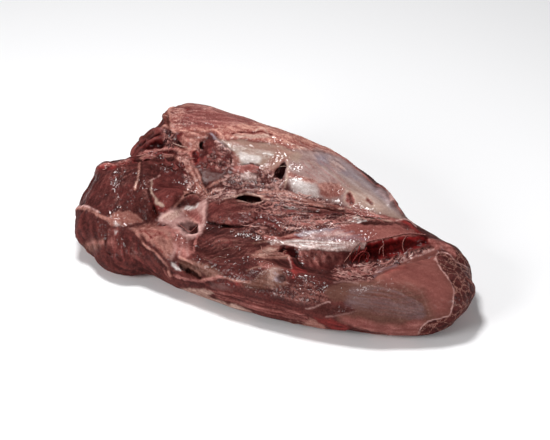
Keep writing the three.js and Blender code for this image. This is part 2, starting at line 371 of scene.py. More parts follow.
dent("cavity of the stump", "dark red", 3.0, 2.5, (146, 149.5), (149, 144), (157, 141), (164, 143.5),
      (162, 149), (152, 151))
patch("torn side of the stump", "torn lean", 2, 0.9, (163, 129), (172, 132), (176, 140), (174, 148),
      (167, 149), (164, 140))
shreds("shreds of its side", "torn lean", 18, (5, 1.2, 0.3), (60, 60), (162, 129), (172, 132), (176, 140),
      (173, 148), (165, 148))
fold("knob on the outline", "blush", 1.5, 0.6, (162, 126.5), (165, 125), (168, 127))
fold("first jag of the outline", "red lean", 1.3, 0.7, (134, 151), (131.5, 153), (131, 156))
fold("second jag of the outline", "dull lean", 1.2, 0.8, (146, 136), (149, 133.5), (153, 132.5))
fold("bump on the outline", "dull lean", 1.8, 0.6, (139, 140), (142, 137), (147, 136))
swelling("shoulder of the stump", 3, 2.0, (128, 160), (130, 148), (140, 138), (146, 140), (138, 152),
      (134, 160))
swelling("notch above the stump", 2, -2.5, (155, 127), (156, 120), (161, 117.5), (164, 121), (162, 126))
swelling("corner of the flank", 2.5, 2.5, (161, 117), (162, 109), (168, 105), (174, 107), (170, 113),
      (166, 117))
patch("red drop", "bright red", 1, 0.8, (132, 159), (136, 159), (136.5, 163), (133, 164), (131.5, 162))
slit("gap at the stump", 1.5, 4, (170, 129), (172, 134), (173, 139))
line("line above the left lobe", "deep", 1.0, -1.2, (134, 160.5), (142, 160), (150, 158.5))

# Folded rim. A rolled edge of membrane between the stump and the round muscle below it.
fold("upper rim", "pink", 1.4, 0.9, (140, 154), (149, 151), (160, 149.5), (171, 148.5), (182, 150.5),
      (190, 155))
line("red line of the rim", "bright red", 1.3, -0.9, (143, 153.5), (152, 154.5), (162, 152.5), (172, 153.5),
      (182, 156), (190, 160))
fold("pale lump of the rim", "blush", 1.8, 0.5, (142, 157.5), (147, 155.5), (152, 156.5))
fold("pale fold of the rim", "blush", 1.8, 0.4, (164, 155.5), (171, 155.5), (178, 158.5), (184, 163),
      (188, 168))
patch("torn part of the rim", "torn pink", 2, 0.8, (174, 151), (186, 152), (193, 158), (194, 168),
      (188, 172), (184, 164), (178, 158))
shreds("shreds of the rim", "pink", 12, (9, 1.0, 0.1), (6, 18), (140, 154), (160, 150), (178, 149),
      (192, 156), (190, 164), (172, 156), (142, 159))
shreds("red shreds of the rim", "red lean", 10, (8, 1.4, 0.3), (-20, 40), (158, 158), (176, 158),
      (188, 166), (176, 172))
fold("red tongue", "red lean", 1.8, 0.8, (161, 161.5), (167, 162.5), (174, 165), (177, 170), (175, 174))
line("shade of the tongue", "deep", 0.7, -0.6, (160, 164), (166, 166.5), (172, 169), (174, 173))
fan(line, "dark rows above the eye", "dark lean", 0.8, -0.4, 3, [(146, 162), (150, 168), (151, 176)],
      [(157, 160), (160, 166), (158, 172)])

# Round eye. A round muscle cut across, so its fibres end in the cut, set in a pale crescent.
patch("round eye", "red lean", 1.5, 1, (152, 182), (158, 175), (166, 171), (175, 172), (181, 175),
      (185, 183), (185, 191), (181, 198), (175, 204), (168, 206), (161, 204), (155, 198), (152, 190))
# Painted highlight: a pale line of glints along the top of the crescent.
line("rim of the eye", "star", 0.7, 0.2, (150, 181), (155, 178), (160, 175.5))
fold("crescent of the eye", "pearl", 1.0, 0.3, (151.5, 181), (151.5, 190), (153.5, 197), (158, 202.5),
      (163.5, 206))
patch("foot of the crescent", "pearl", 1, 0.8, (153, 196), (157, 200), (164, 204.5), (163, 207.5),
      (156, 204.5))
line("groove left of the eye", "dark lean", 1.1, -0.9, (149, 184), (149, 193), (151, 201), (154, 208))
patch("dark below the eye", "deep", 1.5, 0.85, (151, 203), (156, 206), (160, 213), (158, 220), (154, 218),
      (150, 210))
slit("furrow left of the eye", 1.7, 4, (151.5, 204), (154, 210), (157, 217))
patch("red below the eye", "bright red", 2, 0.7, (158, 207), (170, 208), (172, 213), (162, 214))
patch("torn tissue right of the eye", "torn pink", 2, 0.95, (185, 168), (193, 165), (199, 174), (202, 184),
      (208, 194), (203, 200), (196, 196), (188, 196), (183, 200), (186, 190), (184, 178))
fold("first lump", "torn fat", 2.4, 0.3, (190, 169), (195, 174), (199, 180), (201, 186))
fold("second lump", "torn pink", 1.8, 0.3, (187, 176), (189, 183), (188, 189))
line("red between the lumps", "bright red", 1.0, -1.0, (184, 172), (190, 176), (193, 182), (193, 190))
line("more red between them", "wall red", 0.9, -1.0, (193, 168), (196, 176), (199, 182), (203, 188))
for tissue, half, *corners in (("torn pink", 1.5, (201, 186), (204, 191), (207, 196)),
                               ("torn fat", 1.8, (186, 190), (190, 194), (196, 195)),
                               ("blush", 1.6, (194, 178), (197, 184), (200, 190)),
                               ("torn pink", 2.0, (186, 179), (190, 184), (190, 189)),
                               ("blush", 1.8, (195, 168), (198, 173), (199, 177)),
                               ("torn fat", 2.2, (188, 167), (192, 170), (193, 174))):
    fold("soft lump", tissue, half, 0.2, *corners)
string("strap from the lumps", "blush", 1.4, 0.6, (200, 184), (204, 189), (208, 196))
fold("edge of the eye", "blush", 1.4, 0.4, (187, 192), (184, 197), (180, 201), (175, 206))
fold("twist above the star", "red lean", 1.8, 0.5, (187, 199), (192, 195.5), (198, 196.5), (203, 201))
line("dark in the twist", "deep", 0.9, -0.8, (185, 196), (190, 193), (196, 193.5), (200, 197))

# Knob of fat. Soft fat and torn gristle fill the hollow between the stump and the long head, where
# a bone was drawn out and left pits.
patch("red beside the knob", "bright red", 1.5, 0.8, (177, 133), (183, 132), (185, 138), (182, 143),
      (177, 140))
patch("knob of fat", "torn fat", 2, 1, (182, 131), (192, 130), (203, 131), (207, 135), (201, 141),
      (197, 147), (190, 149), (183, 145), (183, 138))
fold("thick of the knob", "torn fat", 4.5, 0.5, (184, 140), (190, 141.5), (197, 141))
fold("upper thick of the knob", "torn fat", 3.5, 0.4, (187, 134), (194, 134), (202, 135))
fold("foot of the knob", "torn fat", 2.6, 0.4, (184, 148), (191, 148.5), (198, 146))
streak("crease of the knob", "bright red", 1.2, 0.5, (183, 133), (187, 137), (189, 142), (188, 147))
streak("second crease of the knob", "bright red", 1.0, 0.4, (197, 133), (200, 136), (200, 141))
line("third crease of the knob", "wall red", 0.8, -0.9, (180, 148), (188, 150), (196, 148))
fold("ragged rim of the long head", "torn fat", 1.8, 0.4, (171, 131.5), (180, 130.5), (190, 129.5),
      (200, 129.5), (209, 130.5))
patch("below the knob", "torn fat", 2, 0.8, (174, 147), (186, 149), (196, 145), (201, 142), (200, 150),
      (191, 154), (180, 152))
patch("red wedge", "red lean", 1.5, 0.9, (203, 145), (208, 141), (214, 138.5), (219, 146), (223, 151),
      (214, 153), (206, 151))
dent("hole by the long head", "deep", 0.8, 3, (199.5, 144), (201.5, 142), (203.5, 143), (203.5, 147),
      (205, 149), (202.5, 149.5), (200, 147))
slit("wedge by the long head", 1.0, 4, (202, 144), (206, 141.5), (210, 139.5))
slit("foot of the wedge", 1.2, 5, (201, 143.5), (202, 146), (204, 148.5))
slit("pit by the stump", 1.5, 7, (176, 136), (176.5, 140), (180, 144), (184, 146))
slit("pit below it", 0.9, 4, (174.5, 145), (180, 147.5), (186, 148.5))
string("strand over the pit", "fat", 0.5, 0.5, (173, 143), (180, 146), (188, 147.5))
slit("pit by the red lump", 1.2, 6, (193.5, 155), (193.5, 159), (195, 162))
dent("dark by the red lump", "dark red", 1.2, 2.0, (192, 153), (195.5, 152), (197.5, 157), (198, 162),
      (194, 163), (192, 158))
patch("red round the pit by the lump", "bright red", 2.0, 0.7, (188, 152), (197, 148), (202, 154),
      (200, 164), (192, 166), (188, 160))
fold("fold over the pit", "torn fat", 1.6, 0.4, (187, 151), (193, 149), (199, 149.5))
fold("fold between the pits", "torn pink", 1.5, 0.4, (197, 150), (202, 151), (207, 150))
line("red crease below the knob", "bright red", 0.9, -0.9, (182, 153), (188, 156), (191, 162), (192, 168))
patch("pink mass above the eye", "torn fat", 2.5, 0.6, (176, 149), (188, 150), (192, 158), (196, 170),
      (204, 186), (206, 198), (196, 196), (190, 184), (188, 172), (182, 160))
fold("red lump", "red lean", 3.4, 0.3, (202, 154), (206, 158), (204, 163))
fold("red lump behind it", "red lean", 3.0, 0.3, (205, 149), (211, 152), (215, 157))
patch("torn red meat", "red lean", 2, 1, (200, 161), (210, 157), (214, 150), (226, 152), (231, 160),
      (231, 170), (222, 175), (212, 170), (200, 168))
patch("pink of the torn meat", "torn pink", 2.5, 0.35, (216, 146), (226, 149), (232, 158), (233, 170),
      (224, 172), (222, 158))
patch("beads on the torn meat", "torn lean", 2, 0.45, (208, 160), (216, 152), (226, 153), (230, 162),
      (229, 171), (218, 172))
shreds("lumps of the torn meat", "torn lean", 8, (6, 1.7, 0.3), (-20, 50), (202, 160), (214, 151),
      (228, 153), (231, 168), (222, 174), (202, 168))
fold("lobe of the torn meat", "red lean", 2.6, 0.2, (214, 158), (220, 157), (225, 160))
fold("lobe below it", "red lean", 2.4, 0.2, (206, 167), (213, 166), (220, 169))
line("cleft between the lobes", "deep", 0.7, -0.9, (209, 162), (216, 162.5), (224, 165.5))
fold("sinew strip", "blue grey", 1.5, 0.8, (210.5, 132), (213, 136), (217, 140), (222, 144))
fold("cheek of the hollow", "torn pink", 1.7, 0.6, (216, 142), (223, 146.5), (229, 151.5), (232, 158),
      (233, 165))
line("shade of the cheek", "deep", 0.8, -0.8, (228, 150.5), (230.5, 156), (231, 163))
line("curl of gristle", "fat", 0.8, 0.8, (211, 128.5), (215, 129.5), (218, 132), (221, 134))
line("shade of the curl", "deep", 0.9, -0.8, (210, 130.5), (214, 132), (217, 135))
patch("blue silverskin", "blue", 1.0, 1, (200, 170), (209, 170.5), (217, 173.5), (224, 178), (216, 181),
      (207, 182), (202, 178))
line("shade of the silverskin", "dark lean", 0.8, -0.5, (200.5, 172), (203, 180), (206, 187))
fold("pink fold below it", "blush", 1.3, 0.7, (206.5, 188.5), (212, 185), (219, 182), (226, 178))

# Long head. The long muscle along the top: a smooth pink flank, and a band of mottled fat and torn
# grains where a second muscle was pulled off its ridge.
patch("flank", "pink", 2, 1, (166, 112), (174, 108), (187, 102), (207, 105), (240, 113), (275, 124),
      (262, 128), (240, 127), (215, 128), (190, 129), (171, 130), (168, 120))
patch("grains of the cut edge", "mottled fat", 2.5, 0.75, (170, 111), (180, 109), (186, 112), (181, 119),
      (187, 128), (172, 130), (169, 120))
patch("wet grains of the flank", "torn pink", 3, 0.35, (167, 112), (176, 107), (190, 105), (214, 109),
      (226, 124), (200, 128), (174, 129))
patch("red of the flank", "membrane", 5, 0.4, (186, 114), (206, 110), (240, 116), (262, 124), (236, 124),
      (204, 122))
patch("cut face", "dull lean", 1.2, 0.9, (163, 110), (169, 110), (169.5, 119), (170.5, 129), (166, 126),
      (162, 119))
line("rim of the cut face", "blush", 0.9, 0.5, (170, 111), (170.5, 120), (171.5, 130))
string("tag on the cut face", "blush", 0.9, 0.6, (168, 117), (165, 116), (163.5, 115.5))
fold("bump of the flank", "blush", 1.5, 0.5, (180, 107.5), (186, 105), (191, 106.5))
fold("second bump of the flank", "blush", 1.3, 0.4, (168, 111), (172, 108.5), (177, 107.5))
patch("notch of the flank", "bright red", 1.2, 0.9, (184, 108), (190, 106.5), (192, 109.5), (187, 111))
fan(line, "grain of the flank", "pink", 1.2, 0.35, 4, [(188, 114), (212, 113), (236, 118)],
      [(192, 126), (220, 125), (262, 127)])
patch("fat along the ridge", "mottled fat", 2.5, 1, (172, 129), (190, 127), (214, 125), (240, 124),
      (262, 122), (285, 128), (312, 139), (340, 153), (352, 163), (338, 160), (322, 152), (305, 152),
      (288, 147), (262, 142), (240, 140), (222, 140), (212, 132), (200, 131), (185, 131))
patch("pale tissue at the tear", "fat", 1.3, 0.95, (232, 134.5), (250, 134), (268, 133.5), (273, 137),
      (255, 138.5), (238, 138))
line("tear of the ridge", "bright red", 0.9, -1.2, (233, 133), (242, 132), (252, 132), (263, 131.5),
      (272, 134.5))
line("loop of the tear", "fat", 0.6, 0.6, (256, 131), (260, 128.5), (265, 130), (268, 133))
fan(line, "strands of the ridge", "fat", 0.7, 0.5, 4, [(284, 142), (296, 147), (304, 153)],
      [(330, 157), (338, 163), (345, 171)])
line("red tear of the ridge", "bright red", 0.9, -0.8, (314, 150.5), (320, 151.5), (325, 153))
line("red tear below it", "membrane", 1.0, -0.6, (284, 143), (289, 147), (294, 151))

# Pearly sheet. The flat tendon sheet of the long head, smooth and wet, with a three-cornered hole
# torn through it and two small eyelets where vessels came out.
patch("dome of the sheet", "dome", 3, 1, (286, 150), (300, 150), (318, 149), (340, 157), (362, 174),
      (385, 196), (400, 212), (406, 222), (392, 218), (372, 213), (354, 210), (340, 205), (322, 200),
      (304, 198), (290, 188), (285, 175))
patch("blue sheen", "blue grey", 5, 0.7, (316, 155), (326, 154), (340, 160), (358, 173), (376, 189),
      (390, 204), (398, 213), (386, 210), (368, 197), (348, 183), (330, 172), (316, 163))
patch("lower dome", "pearl", 5, 0.8, (340, 184), (352, 186), (366, 192), (382, 202), (396, 213), (403, 221),
      (388, 218), (370, 212), (356, 207), (348, 196))
fan(streak, "streaks of the dome", "pearl", 1.26, 0.45, 7, [(304, 160), (322, 168), (342, 180)],
      [(360, 180), (378, 197), (396, 214)])
line("edge of the dome", "membrane", 1.0, 0.2, (336, 153), (352, 165), (370, 180), (388, 195), (402, 213))
patch("pearly sheet", "pearl", 1.8, 1, (216, 139), (228, 141), (242, 140.5), (260, 143), (278, 145),
      (292, 150), (303, 156), (296, 162), (289, 160), (285, 158), (280, 164), (272, 170), (264, 173),
      (261, 168), (256, 163.5), (242, 163.5), (236, 160), (233, 151), (226, 145))
patch("blush of the sheet", "blush", 3, 0.45, (226, 140), (262, 143), (302, 154), (284, 153), (254, 148.5),
      (232, 146))
# Painted highlight: the whitish glare on the sheet where it faces the lamp.
patch("bright of the sheet", "pale", 2, 0.95, (240, 153), (251, 155), (261, 157.5), (259, 163),
      (246, 163.5), (239, 159))
patch("pale haze of the sheet", "pale", 6, 0.25, (226, 146), (250, 150), (276, 153), (270, 164), (244, 162))
patch("dry fold of the sheet", "blush", 3, 0.55, (270, 160), (280, 153), (291, 154), (290, 160), (282, 165),
      (272, 172), (264, 173))
streak("pink crease of the sheet", "blush", 2.5, 0.6, (278, 150), (276, 156), (271, 162), (263, 168))
line("streak of the sheet", "pale", 0.7, 0.1, (263, 153.5), (268, 154), (272, 154.5))
fan(streak, "bright streaks of the dome", "pale", 1.4, 0.15, 5, [(296, 166), (318, 178), (340, 190)],
      [(330, 158), (360, 180), (390, 208)])
fan(streak, "pink vessels of the dome", "membrane", 0.8, 0.45, 5, [(292, 162), (304, 172), (318, 178)],
      [(322, 160), (334, 172), (348, 186)])
patch("pink edge of the sheet", "blush", 1.3, 0.9, (232, 151), (237, 155), (240, 163), (236, 167),
      (233, 163))
patch("red flap", "membrane", 1.3, 0.9, (232, 169), (238, 166), (246, 163.5), (254, 163), (260, 166),
      (256, 171), (244, 173), (234, 174))
fold("edge of the flap", "membrane", 1.4, 0.6, (236, 168), (244, 165.5), (253, 165), (260, 167))
line("shade of the flap", "deep", 0.7, -0.8, (243, 163.3), (251, 163.5), (259, 165.5))
patch("folds beside the flap", "torn pink", 1.8, 0.85, (260, 170), (272, 169), (276, 175), (268, 178),
      (260, 176))
line("strip beside the hole", "pearl", 1.0, 0.4, (287.5, 161), (288, 172), (286.5, 181), (284, 189))
dent("three-cornered hole", "deep", 0.7, 1, (284.3, 161), (286, 165), (284.5, 172), (283.5, 178.5),
      (281, 179.5), (277, 177.5), (272.5, 176.5), (275, 172), (279, 168), (282, 164))
patch("lit wall of the hole", "torn lean", 1.0, 0.9, (274, 175), (278, 171.5), (281.5, 168), (282.5, 174),
      (281, 179), (277, 177))
string("strand across the hole", "pearl", 0.35, 0.4, (279, 166.8), (283.5, 166.2), (288, 166.5))
patch("second pearly patch", "pale", 2.5, 0.7, (292, 177), (300, 177.5), (310, 182), (316, 188), (319, 197),
      (309, 200), (299, 195), (291, 187))
patch("grains above the patch", "mottled fat", 2, 0.8, (288, 172), (298, 174), (312, 178), (318, 184),
      (308, 182), (298, 178), (290, 178))
patch("grains by the eyelet", "torn fat", 2, 0.9, (318, 184), (326, 181), (338, 184), (345, 190),
      (340, 197), (328, 198), (320, 194))
patch("yellow fat", "fat", 3, 0.5, (328, 158), (338, 160), (346, 170), (338, 172), (330, 166))
patch("inside of the large eyelet", "membrane", 1, 1, (346, 194), (350, 191), (353, 197), (354, 203),
      (351, 206.5), (347, 203), (345, 198))
dent("large eyelet", "membrane", 1.2, 1.2, (347, 193), (350, 192), (352.5, 198), (353, 204), (350, 205),
      (347, 200))
streak("dark of the large eyelet", "dark lean", 1.3, 0.7, (349, 194), (350, 199), (350.5, 203))
line("rim of the large eyelet", "pearl", 0.7, 0.4, (345.5, 194), (350, 190.5), (354, 197), (354.5, 204),
      (351, 208), (346.5, 204), (344, 198), (345.5, 194))
dent("small eyelet", "membrane", 1.0, 1.0, (366, 197), (369, 199), (373, 205), (371, 205.5), (367, 201))
streak("dark of the small eyelet", "dark lean", 0.9, 0.6, (367, 199), (370, 202), (372, 204.5))
line("rim of the small eyelet", "pearl", 0.5, 0.3, (365, 196), (369, 198), (373, 203), (374.5, 208))
patch("red spot", "membrane", 2, 0.7, (352, 207), (358, 205), (361, 209), (356, 212))
fold("knot on the outline", "star", 1.7, 0.4, (387, 194), (390, 197), (391.5, 201))
swelling("knot of fat behind the dome", 3, 2.5, (378, 184), (388, 190), (398, 204), (388, 204), (378, 192))

# Ragged band. Where the flat muscle over the clod was pulled away, its torn fibres stand in wet
# tatters between the sheet and the membrane, with a long lobe and a dark eye in them.
WET_GRAINS = ((224, 176), (238, 173), (262, 173), (276, 177), (285, 182), (284, 190), (268, 191),
              (250, 191), (236, 194), (224, 191), (219, 184))
patch("wet grains", "beaded lean", 2.5, 1, *WET_GRAINS)
patch("pink of the wet grains", "torn pink", 3, 0.4, *WET_GRAINS)
patch("pale lump", "tendon", 1.5, 0.8, (241, 174), (249, 171.5), (257, 174.5), (255, 180.5), (247, 181.5),
      (242, 179))
patch("ragged band", "torn lean", 2.5, 1, (236, 201), (262, 199), (290, 199), (320, 202), (345, 208),
      (375, 214), (400, 221), (378, 221), (355, 222), (335, 225), (312, 231), (290, 234), (262, 234),
      (244, 229), (238, 222), (246, 212))
shreds("fibres of the band", "torn lean", 26, (11, 0.9, 0.0), (-7, 16), (236, 201), (262, 199), (320, 202),
      (375, 214), (398, 221), (355, 222), (312, 231), (262, 234), (240, 226))
shreds("pale fibres of the band", "torn pink", 14, (13, 0.5, 0.2), (-7, 14), (250, 199), (320, 202),
      (375, 214), (398, 221), (355, 222), (312, 231), (262, 234), (250, 226))
patch("pale tissue left of the eye", "torn pink", 2, 0.9, (205, 197), (213, 189), (224, 187), (234, 191),
      (237, 196), (224, 200), (211, 203))
shreds("shreds left of the eye", "torn pink", 20, (7, 0.9, 0.2), (20, 40), (206, 197), (224, 187),
      (236, 192), (224, 200), (211, 203))
patch("tatters over the band", "torn pink", 2, 0.95, (262, 190), (286, 190), (300, 194), (326, 200),
      (345, 206), (344, 210), (322, 207), (296, 205), (272, 203), (262, 200))
shreds("tatters", "torn pink", 18, (12, 0.8, 0.1), (-9, 12), (262, 190), (300, 194), (345, 206), (344, 210),
      (296, 206), (262, 201))
fan(line, "pulled fibres", "blush", 0.9, 0.5, 4, [(258, 192), (285, 193), (312, 200), (340, 208)],
      [(266, 202), (290, 204), (318, 209), (346, 214)])
patch("wet tatters", "torn pink", 2.5, 0.95, (278, 222), (300, 218), (318, 221), (340, 219), (352, 216),
      (362, 221), (340, 226), (318, 230), (300, 231), (284, 228))
shreds("tatters before the sheet", "torn pink", 16, (9, 0.8, 0.1), (4, 18), (278, 222), (318, 219),
      (352, 216), (362, 221), (318, 230), (284, 229))
patch("red fibres at the right", "membrane", 2.5, 0.7, (345, 208), (365, 211), (390, 217), (402, 222),
      (380, 220), (360, 217), (346, 214))
shreds("fibres at the right", "membrane", 14, (14, 0.6, 0.3), (-12, 10), (345, 207), (365, 210), (402, 221),
      (380, 221), (346, 215))
fan(line, "long fibres at the right", "fat", 0.6, 0.4, 4, [(338, 208), (362, 212), (388, 217)],
      [(340, 217), (362, 218), (392, 221)])
patch("white wet tatters", "pale", 2, 0.6, (346, 219), (358, 217), (362, 221), (352, 223))
line("upper lip of the eye", "fat", 0.9, 0.6, (224, 199), (235, 196.5), (246, 193.6), (256, 195),
      (268, 200))
line("lower lip of the eye", "fat", 0.6, 0.5, (238, 202), (248, 203.3), (258, 203), (264, 200.5))
slit("eye below the long head", 1.5, 3, (240, 198.7), (246, 198.8), (253, 199.2), (259, 200))
dent("opening of the eye", "deep", 0.7, 1.5, (235.5, 198), (240, 196.2), (246, 195.6), (252, 196.2),
      (257, 197.8), (262.5, 200), (257, 202), (250, 202), (242, 200.6))
patch("lobe below the eye", "red lean", 2, 1, (210, 204), (222, 202), (236, 204), (248, 207), (254, 214),
      (248, 221), (236, 225), (222, 225), (212, 221), (208, 212))
swelling("round of the lobe", 6, 2.5, (211, 205), (226, 202), (242, 205), (254, 211), (252, 219),
      (236, 224), (218, 223), (209, 216))
patch("specks of the lobe", "beaded lean", 6, 0.3, (208, 206), (226, 202), (248, 206), (256, 212),
      (248, 222), (226, 226), (206, 224))
line("crease round the lobe", "deep", 1.0, -1.8, (208, 222), (218, 224.5), (232, 226.5), (246, 225),
      (256, 219))
patch("grains on the lobe", "beaded lean", 2.5, 0.7, (214, 202), (236, 203), (250, 206), (264, 212),
      (262, 221), (250, 217), (240, 208), (222, 205))
slit("crease under the lobe", 1.5, 5, (210, 223), (218, 225), (227, 226), (236, 227))
fold("red fold below the crease", "dark lean", 2.2, 0.4, (246, 226), (258, 226), (270, 230), (280, 234))
slit("crease in the band", 1.5, 5, (243, 229.5), (252, 231), (262, 234), (274, 235))
slit("crease over it", 1.2, 4, (248, 223.5), (258, 224), (268, 227), (276, 231))
slit("crease before the sheet", 1.6, 5, (281, 229.5), (288, 232), (296, 230), (301, 228))
slit("upper cut", 1.5, 5, (261, 210.5), (269, 208.5), (279, 205.5))
slit("middle cut", 1.5, 5, (281, 214), (288, 215.5), (295, 212.5))
slit("long cut", 1.7, 5, (303, 217), (314, 219), (326, 218.5), (335, 215))
fold("upper bundle", "torn lean", 2.2, 0.2, (262, 204), (280, 203), (300, 206), (320, 210), (342, 213))
fold("bundle over the long cut", "red lean", 2.4, 0.3, (282, 210), (300, 213), (318, 214), (338, 213))
fold("bundle below the long cut", "torn lean", 2.2, 0.3, (284, 219), (300, 222), (320, 223), (340, 220),
      (352, 217))
fold("bundle left of it", "torn lean", 2.6, 0.3, (254, 212), (266, 214), (276, 219), (288, 222))
fold("bundle over the lower crease", "red lean", 2.4, 0.3, (250, 221), (262, 221), (272, 224), (280, 228))
fold("right bundle", "membrane", 1.6, 0.3, (346, 211), (366, 214), (388, 218), (402, 222))
line("cleft of the upper bundle", "deep", 1.0, -1.2, (284, 206.5), (300, 209.5), (320, 212.5))
patch("smooth upper bundle", "dark lean", 2, 0.8, (294, 205), (312, 205.5), (334, 209), (344, 212),
      (334, 214.5), (314, 213), (298, 210))
patch("smooth left bundle", "red lean", 2.5, 0.8, (250, 214), (264, 212), (278, 216), (286, 222),
      (276, 226), (258, 222))
patch("smooth lower bundle", "membrane", 2.5, 0.55, (286, 218), (306, 220), (334, 222), (348, 218),
      (340, 224), (312, 227), (292, 226))
line("cleft under the tatters", "dark red", 1.0, -1.0, (300, 204), (322, 208), (344, 212))
line("cleft right of the long cut", "dark red", 0.9, -1.0, (334, 215.5), (348, 214), (364, 217), (380, 219))
# Partly painted highlight: whitish streaks standing for wet glints on the band's fibres.
fan(streak, "wet white fibres", "tendon", 0.6, 0.6, 4, [(280, 200), (292, 201), (304, 203)],
      [(284, 208), (294, 209), (306, 211)])
line("pale edge of the folds", "blush", 0.8, 0.6, (256, 232), (270, 237), (285, 237), (298, 233))

# Membrane. A thin pink sheet over the muscle below the band, which runs left into a bright tendon
# and ends at the right in a cut edge over the trench.
patch("membrane", "membrane", 1.5, 1, (262, 237), (286, 237), (304, 232), (322, 230), (338, 226),
      (352, 223), (372, 226), (396, 224), (406, 228), (421, 233), (408, 234.5), (391, 238), (375, 241),
      (350, 242), (330, 240), (305, 239), (280, 241), (264, 240))
patch("smooth part of it", "heel pink", 3, 0.75, (350, 224), (372, 227), (398, 226), (418, 232), (398, 235),
      (376, 238), (352, 238))
patch("grey edge", "blue grey", 1.3, 0.9, (294, 235.5), (306, 231), (322, 229), (334, 228), (330, 231.5),
      (314, 234), (302, 237))
fan(streak, "streaks of the membrane", "blue grey", 1.0, 0.5, 5, [(300, 236), (318, 232), (340, 227)],
      [(318, 240), (345, 240), (366, 238)])
line("red line over the tendon", "bright red", 0.7, -0.4, (284, 239), (305, 236.5), (325, 236), (345, 238))
patch("tendon", "tendon", 2.0, 0.95, (266, 241.5), (280, 240.5), (300, 239.5), (325, 240), (342, 241),
      (352, 244), (346, 249.5), (334, 251.5), (318, 248.5), (304, 250), (292, 245), (280, 243.5))
streak("pink end of the tendon", "membrane", 2.5, 0.6, (338, 243), (346, 246), (352, 249))
patch("pale sheen of the membrane", "tendon", 2.5, 0.5, (300, 234), (320, 231), (342, 231), (350, 236),
      (330, 239), (304, 239))
patch("wet end of the tendon", "tendon", 2, 0.7, (340, 242), (352, 241), (366, 243), (363, 248), (352, 252),
      (342, 250))
fan(line, "fibres of the tendon", "pale", 0.6, 0.3, 3, [(276, 241.5), (305, 242), (345, 243)],
      [(298, 246), (320, 247), (346, 248.5)])
fold("lip of the tendon", "tendon", 1.3, 0.5, (272, 243), (288, 244), (304, 248.5), (320, 248),
      (338, 250.5), (348, 248))
patch("dark eyelet of the membrane", "deep", 1.2, 0.7, (360, 223), (366, 221), (378, 221), (382, 223),
      (374, 225), (364, 225))
slit("eyelet of the membrane", 0.9, 2.5, (362, 223), (370, 223), (379, 222.5))
line("pale edge of the eyelet", "pale", 0.8, 0.4, (358, 223), (362, 221), (366, 220.5))
fold("red tag at the back", "bright red", 2.0, 0.4, (402, 222.5), (408, 224), (414, 229), (419, 232.5))
slit("cleft under the tag", 1.2, 4, (400, 225.5), (408, 229), (417, 232.5))
line("pale line over the tag", "star", 0.6, 0.4, (396, 221), (405, 219.5), (411, 222), (416, 227))

# Recess and trench. Below the tendon the meat is hollow and striped, and at the right a deep
# trench with bright red walls is bridged by thin septa and strands.
patch("recess", "red lean", 1.5, 1, (275, 252), (279, 247.5), (288, 246), (300, 249), (320, 250.5),
      (336, 252), (347, 255), (343, 264), (334, 270), (318, 268), (304, 266), (297, 259), (290, 252))
# The recess's stripes are soft folds, with painted highlights on them and painted shade between.
fan(line, "soft folds of the recess", "red lean", 1.5, 0.35, 6, [(301, 252), (302, 258), (306, 265)],
      [(342, 255), (340, 261), (337, 267)])
fan(streak, "light folds of the recess", "membrane", 1.3, 0.2, 6, [(300, 252), (301, 258), (305, 265)],
      [(342, 255), (340, 261), (337, 267)])
fan(streak, "shadows of the recess", "dark red", 1.2, 0.3, 5, [(304, 252), (305, 258), (309, 265)],
      [(345, 256), (342, 262), (339, 267)])
patch("wet of the recess", "beaded lean", 3, 0.7, (288, 248), (310, 251), (336, 254), (338, 262),
      (318, 264), (300, 260))
patch("haze of the recess", "membrane", 4, 0.3, (292, 250), (318, 251), (345, 256), (336, 268), (312, 265),
      (298, 258))
dent("arch under the strap", "dark red", 1.2, 2.0, (277, 250.5), (284, 247.5), (294, 248), (300, 252),
      (299, 257), (291, 256), (284, 253.5))
shreds("red threads of the gap", "bright red", 6, (9, 0.7, 0.2), (75, 18), (346, 250), (356, 246),
      (370, 243), (372, 260), (350, 264))
shreds("red folds of the gap", "wall red", 4, (8, 1.1, 0.0), (70, 15), (354, 255), (368, 252), (370, 260),
      (356, 262))
patch("wall of the trench", "wall red", 1.2, 1, (364, 250), (368, 243), (384, 240.5), (392, 238.5),
      (402, 237), (412, 235), (427, 236), (430, 242), (420, 247), (408, 251), (399, 256.5), (383, 258),
      (370, 259), (352, 263), (352, 254), (358, 250))
dent("sunk wall", "wall red", 3.0, 3.0, (366, 247), (384, 243.5), (404, 240), (426, 238.5), (428, 242),
      (418, 246), (404, 251), (386, 256), (368, 258))
# Painted shade darkens the trench wall between its folds.
fan(streak, "folds of the wall", "dark red", 1.4, 0.5, 6, [(376, 244), (377, 250), (376, 258)],
      [(422, 238), (423, 241), (420, 245)])
string("pale edge in the trench", "membrane", 0.5, 0.5, (381, 238), (383.5, 243), (383, 249), (383.5, 257))
string("fork of the pale edge", "membrane", 0.45, 0.5, (383, 245), (380, 249), (379, 254))
string("first red thread in the gap", "bright red", 0.8, 1.2, (352, 262), (357, 255), (363, 251),
      (368, 254), (368, 260))
string("second red thread in the gap", "bright red", 0.6, 1.0, (359, 262), (360, 256), (364, 252),
      (366, 247))
string("pale thread in the gap", "blush", 0.5, 0.8, (344, 262), (350, 254), (354, 248), (360, 243))
string("second pale edge in the trench", "membrane", 0.5, 0.4, (407, 235.5), (403.5, 240), (402.5, 246),
      (404, 252))
string("cut edge of the membrane", "membrane", 0.9, 0.7, (366, 242), (375, 240), (391, 237), (408, 233.8),
      (426, 235.5))
patch("floor of the trench", "torn lean", 2, 1, (330, 268), (350, 264), (372, 262), (390, 258), (405, 254),
      (420, 249), (434, 247), (438, 250), (425, 255), (412, 261), (395, 268), (380, 274), (373, 281),
      (360, 284), (346, 282), (334, 278))
